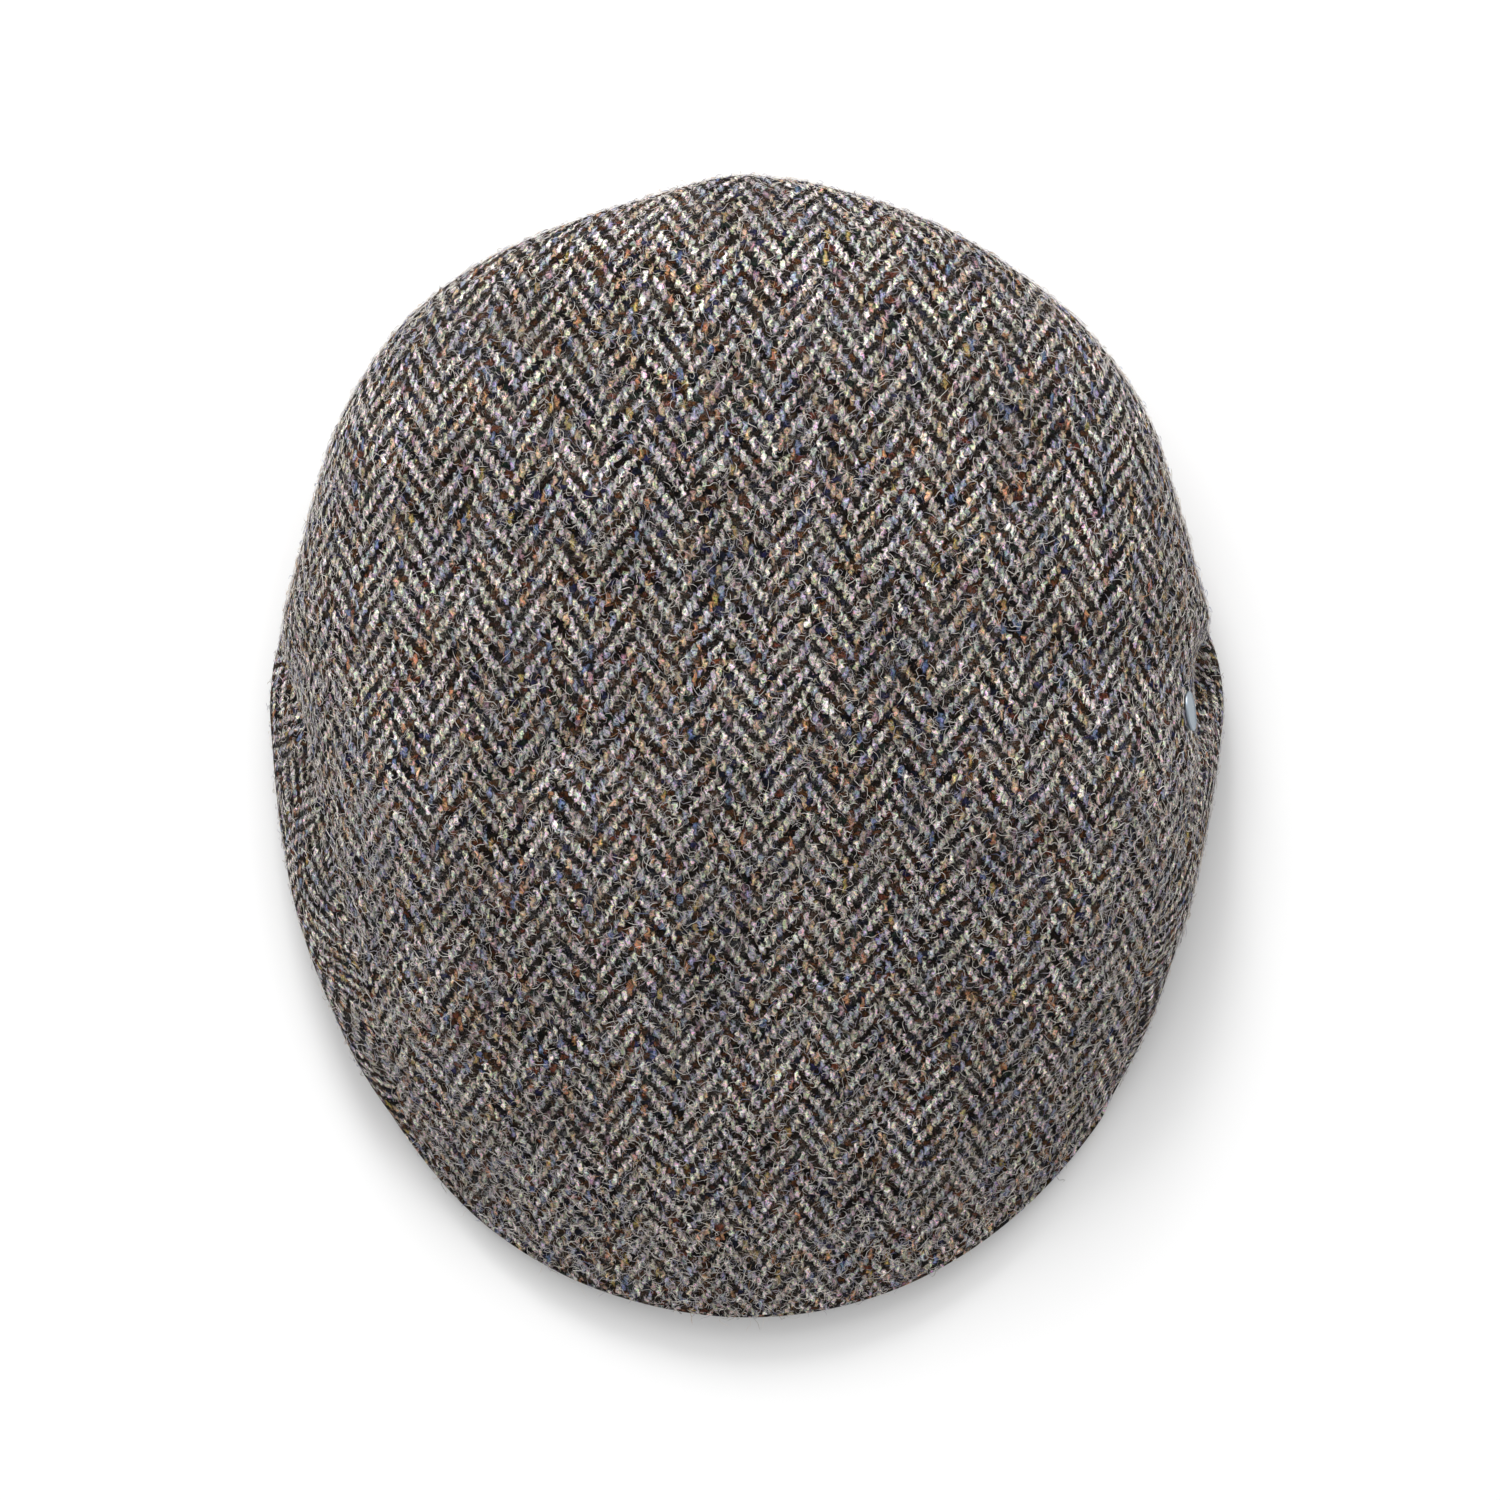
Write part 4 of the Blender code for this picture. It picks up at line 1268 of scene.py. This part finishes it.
@dataclass
class LooseHairs:
    """Curled wool hairs that stand off the cloth, each a thin closed tube with pointed ends."""

    seed: int
    length: tuple[float, float] = (1.8 * MM, 5.8 * MM)
    lift: tuple[float, float] = (0.05 * MM, 0.50 * MM)
    radius: tuple[float, float] = (0.045 * MM, 0.085 * MM)
    stand: float = 0.30 * MM
    clear: float = 0.10 * MM
    curl: float = 3.4
    wave: float = 1.2
    high_lift: float = 1.2
    high_above: float = 0.86
    points: int = 6
    sides: int = 3

    def scatter(
        self, face: Array, normal: Array, count: int, rng: np.random.Generator
    ) -> tuple[Array, Array, Array]:
        """Roots spread evenly over a face.

        A cell of the grid is drawn by its area, and a place in it by two even numbers. Bent cloth
        falls away from a straight hair by half the bend times the hair's length squared, and a
        hair is at most so long that this is the stand.

        Args:
            face: points, (stations, rows, 3).
            normal: its normals.
            count: number of hairs.
            rng: source of the random draws.

        Returns:
            Roots, the normals there and the longest hair for each.
        """
        edges, turns = (
            (grid[1:, :-1] - grid[:-1, :-1], grid[:-1, 1:] - grid[:-1, :-1])
            for grid in (face, normal)
        )
        area = np.linalg.norm(np.cross(*edges), axis=-1)
        length, turned = (np.linalg.norm(pair, axis=-1) for pair in (edges, turns))
        bend = np.max(turned / np.maximum(length, 0.5 * MM), axis=0)
        longest = np.sqrt(2 * self.stand / np.maximum(bend, 1.0))
        cell = rng.choice(area.size, count, p=(area / area.sum()).ravel())
        r, c = np.divmod(cell, area.shape[1])
        a, b = rng.random((2, count, 1))
        root = face[r, c] + a * edges[0][r, c] + b * edges[1][r, c]
        return root, normal[r, c], longest[r, c][:, None]

    def tubes(
        self, root: Array, normal: Array, longest: Array, rng: np.random.Generator
    ) -> Array:
        """Rings of points round each hair's path.

        The path turns steadily in the cloth's plane as it runs, so that it curls, and rises and
        falls over it as half a sine, but never under what the cap lies on; its radius shrinks to
        nothing at both ends.

        Args:
            root: where each hair starts, (hairs, 3).
            normal: the cloth's normals there.
            longest: the longest that each hair may be.
            rng: source of the random draws.

        Returns:
            Points, (hairs, points, sides, 3).
        """
        count = len(root)
        helper = np.where(np.abs(normal[:, :1]) < 0.7, [[1.0, 0.0, 0.0]], [[0.0, 1.0, 0.0]])
        first = unit(np.cross(normal, helper))
        second = np.cross(normal, first)
        t = np.linspace(0.0, 1.0, self.points)[None, :]
        length = np.minimum(rng.uniform(*self.length, (count, 1)), longest)
        curl = rng.normal(0.0, self.curl, (count, 1))
        wave = rng.uniform(-self.wave, self.wave, (count, 1))
        angle = rng.uniform(0.0, 2 * math.pi, (count, 1)) + curl * t + wave * np.sin(7.0 * t)
        step = length / (self.points - 1)
        along = np.cumsum(np.cos(angle), axis=1) * step
        sideways = np.cumsum(np.sin(angle), axis=1) * step
        peak = rng.uniform(*self.lift, (count, 1))
        peak = peak * (1 + self.high_lift * (rng.random((count, 1)) > self.high_above))
        tip = rng.uniform(0.3, 1.0, (count, 1))
        height = self.clear + peak * np.sin(math.pi * tip * t)
        path = (
            root[:, None]
            + first[:, None] * along[..., None]
            + second[:, None] * sideways[..., None]
            + normal[:, None] * height[..., None]
        )
        path[..., 2] = np.maximum(path[..., 2], self.clear)
        ahead = unit(np.gradient(path, axis=1))
        up = unit(normal[:, None] - np.sum(ahead * normal[:, None], axis=-1)[..., None] * ahead)
        beside = np.cross(ahead, up)
        radius = rng.uniform(*self.radius, (count, 1)) * np.sqrt(np.sin(math.pi * t).clip(0.0))
        around = 2 * math.pi * np.arange(self.sides) / self.sides
        ring = (
            up[:, :, None] * np.cos(around)[None, None, :, None]
            + beside[:, :, None] * np.sin(around)[None, None, :, None]
        )
        return path[:, :, None] + ring * radius[..., None, None]

    def build(
        self, name: str, faces: list[tuple[Array, Array, int]], material: bpy.types.Material
    ) -> bpy.types.Object:
        """One piece with all the hairs of these faces.

        Args:
            name: the piece's name.
            faces: points, normals and number of hairs of each face.
            material: its finish.

        Returns:
            The new object, riding on the cap.
        """
        rng = np.random.default_rng(self.seed)
        found = [self.scatter(face, normal, count, rng) for face, normal, count in faces]
        rings = self.tubes(*(np.concatenate(part) for part in zip(*found)), rng)
        count, points, sides = rings.shape[:3]
        body = rings[:, 1:-1].reshape(count, -1, 3)
        tips = rings[:, [0, -1], 0]
        every = np.concatenate([body, tips], axis=1)
        size = every.shape[1]
        quads = grid_quads(points - 2, sides, closed_rows=False, closed_columns=True)
        ring = np.arange(sides)
        head = np.stack([np.full(sides, size - 2), np.roll(ring, -1), ring], axis=-1)
        last = ring + (points - 3) * sides
        tail = np.stack([np.full(sides, size - 1), last, np.roll(last, -1)], axis=-1)
        base = (np.arange(count) * size)[:, None, None]
        parts = [(base + part[None]).reshape(-1, part.shape[1]) for part in (quads, head, tail)]
        tint = np.repeat(rng.random(count), size)
        piece = make_piece(name, every.reshape(-1, 3), parts, material, tint=tint, weld=False)
        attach(piece, "root")
        return piece


@dataclass
class Badge:
    """A small plain oval plate with a rolled rim, pinned to the crown above the left seam."""

    length: float = 0.0100
    height: float = 0.0066
    thickness: float = 0.0010
    sunk: float = 0.3 * MM
    segments: int = 64

    def build(self, material: bpy.types.Material) -> bpy.types.Object:
        """The plate, a lathed profile stretched to an oval where its solid lies.

        The profile runs from the middle of the back round the rim to the middle of the front:
        each row is a share of the radius and of the thickness.

        Args:
            material: its finish.

        Returns:
            The new object, riding on the cap.
        """
        profile = np.array(
            [(0.0, -0.5), (0.55, -0.5), (0.94, -0.5), (0.985, -0.36), (1.0, -0.1), (1.0, 0.16),
             (0.985, 0.4), (0.955, 0.5), (0.915, 0.5), (0.885, 0.36), (0.86, 0.3), (0.7, 0.33),
             (0.4, 0.37), (0.0, 0.4)]
        )
        low, high = (np.array(corner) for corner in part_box("badge"))
        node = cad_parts["badge"].data
        points = np.empty(len(node.vertices) * 3)
        node.vertices.foreach_get("co", points)
        points = points.reshape(-1, 3)
        along, up, out = np.linalg.svd(points - points.mean(axis=0), full_matrices=False)[2]
        out = out * np.sign(out[0])
        middle = (low + high) / 2 - out * self.sunk
        angle = np.linspace(0.0, 2 * math.pi, self.segments, endpoint=False)
        circle = (
            along[None] * (self.length / 2 * np.cos(angle))[:, None]
            + up[None] * (self.height / 2 * np.sin(angle))[:, None]
        )
        ring = (
            middle
            + circle[:, None] * profile[None, :, :1]
            + out[None, None] * (profile[None, :, 1:] * self.thickness)
        )
        quads = grid_quads(self.segments, len(profile), closed_rows=True, closed_columns=False)
        piece = make_piece("badge_plate", ring.reshape(-1, 3), [quads], material)
        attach(piece, "root")
        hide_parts("badge")
        return piece


@dataclass
class Studio:
    """A white floor, soft light from behind the cap, and the camera straight above."""

    camera_height: float = 1.530
    camera_x: float = 0.0008
    camera_y: float = 0.00185
    lens: float = 145.0
    sensor: float = 36.0
    floor_size: float = 8.0
    sky: float = 0.75

    def light(
        self, name: str, place: tuple[float, float, float], size: float, power: float
    ) -> None:
        """A square soft light aimed at the cap.

        Args:
            name: the light's name.
            place: its middle, in metres.
            size: its side, in metres.
            power: in watts.
        """
        data = bpy.data.lights.new(name, "AREA")
        data.size = size
        data.energy = power
        lamp = bpy.data.objects.new(name, data)
        lamp.location = place
        aim = -np.array(place)
        lamp.rotation_euler = (
            math.atan2(math.hypot(aim[0], aim[1]), -aim[2]),
            0.0,
            math.atan2(aim[0], -aim[1]) + math.pi,
        )
        bpy.context.scene.collection.objects.link(lamp)

    def build(self) -> None:
        """Floor, lights, sky and camera."""
        half = self.floor_size / 2
        corners = np.array([(-half, -half, 0), (half, -half, 0), (half, half, 0), (-half, half, 0)])
        mesh = bpy.data.meshes.new("floor")
        mesh.from_pydata(corners.tolist(), [], [(0, 1, 2, 3)])
        mesh.materials.append(PaleFloor().build())
        floor = bpy.data.objects.new("floor", mesh)
        bpy.context.scene.collection.objects.link(floor)
        self.light("key", (-0.24, 1.20, 0.95), 0.40, 11.0)
        self.light("soft_box", (-0.30, 1.70, 1.35), 2.4, 35.0)
        world = bpy.context.scene.world or bpy.data.worlds.new("studio")
        bpy.context.scene.world = world
        world.use_nodes = True
        sky = world.node_tree.nodes["Background"]
        sky.inputs["Color"].default_value = (1.0, 1.0, 1.0, 1.0)
        sky.inputs["Strength"].default_value = self.sky
        data = bpy.data.cameras.new("camera")
        data.lens = self.lens
        data.sensor_width = self.sensor
        camera = bpy.data.objects.new("camera", data)
        camera.location = (self.camera_x, self.camera_y, self.camera_height)
        bpy.context.scene.collection.objects.link(camera)
        bpy.context.scene.camera = camera
        bpy.context.scene.view_settings.view_transform = "Standard"


@dataclass
class Nap:
    """All the loose hairs: over each quarter of the crown, thicker at its rim, and each band."""

    crown: TopPanel
    panels: list[SidePanel]
    crown_hairs: int = 4800
    rim_hairs: int = 1500
    band_hairs: int = 4000
    band_end: float = 125.0
    crown_stations: int = 121
    band_stations: int = 101
    rows: int = 41
    rim_row: int = 27
    crown_seed: int = 11
    band_seed: int = 31

    def build(self, material: bpy.types.Material) -> list[bpy.types.Object]:
        """The pieces, two for each half of the crown and one for each band.

        Args:
            material: their finish.

        Returns:
            The new objects, riding on the cap.
        """
        pieces = []
        share = np.linspace(0.0, 1.0, self.rows)
        turn = np.linspace(0.0, 180.0, self.crown_stations)
        middle = self.crown_stations // 2
        zones = (("back", slice(0, middle + 1)), ("front", slice(middle, None)))
        rim = slice(self.rim_row, None)
        for number, side in enumerate(Side):
            face, normal, _ = self.crown.outer(turn, side, share)
            for later, (zone, part) in enumerate(zones):
                faces = [
                    (face[part], normal[part], self.crown_hairs),
                    (face[part, rim], normal[part, rim], self.rim_hairs),
                ]
                hairs = LooseHairs(seed=self.crown_seed + 2 * number + later)
                pieces.append(hairs.build(f"hairs_{zone}_{side.name.lower()}", faces, material))
        turn = np.linspace(0.0, self.band_end, self.band_stations)
        for number, panel in enumerate(self.panels):
            face, normal, _ = panel.outer(turn, share)
            hairs = LooseHairs(seed=self.band_seed + number)
            name = f"hairs_band_{panel.side.name.lower()}"
            pieces.append(hairs.build(name, [(face, normal, self.band_hairs)], material))
        return pieces


def main() -> None:
    """Builds the sub-assemblies in order and reports each piece."""
    logging.basicConfig(level=logging.INFO, format="%(message)s")
    shape, thread = CapShape(), Thread()
    crown = TopPanel(shape, thread)
    pieces = [crown.build(Tweed("tweed_crown").build())]
    panels = [SidePanel(shape, thread, side) for side in Side]
    for panel in panels:
        pieces.append(panel.build(Tweed(f"tweed_band_{panel.side.name.lower()}").build()))
    pieces.append(Peak(shape, thread).build(Tweed("tweed_peak_cover").build()))
    pieces.append(Badge().build(NickelPlate().build()))
    pieces += Nap(crown, panels).build(WoolHair().build())
    Studio().build()
    for piece in pieces:
        LOG.info("%s: %d faces", piece.name, len(piece.data.polygons))


if __name__ == "__main__":
    main()
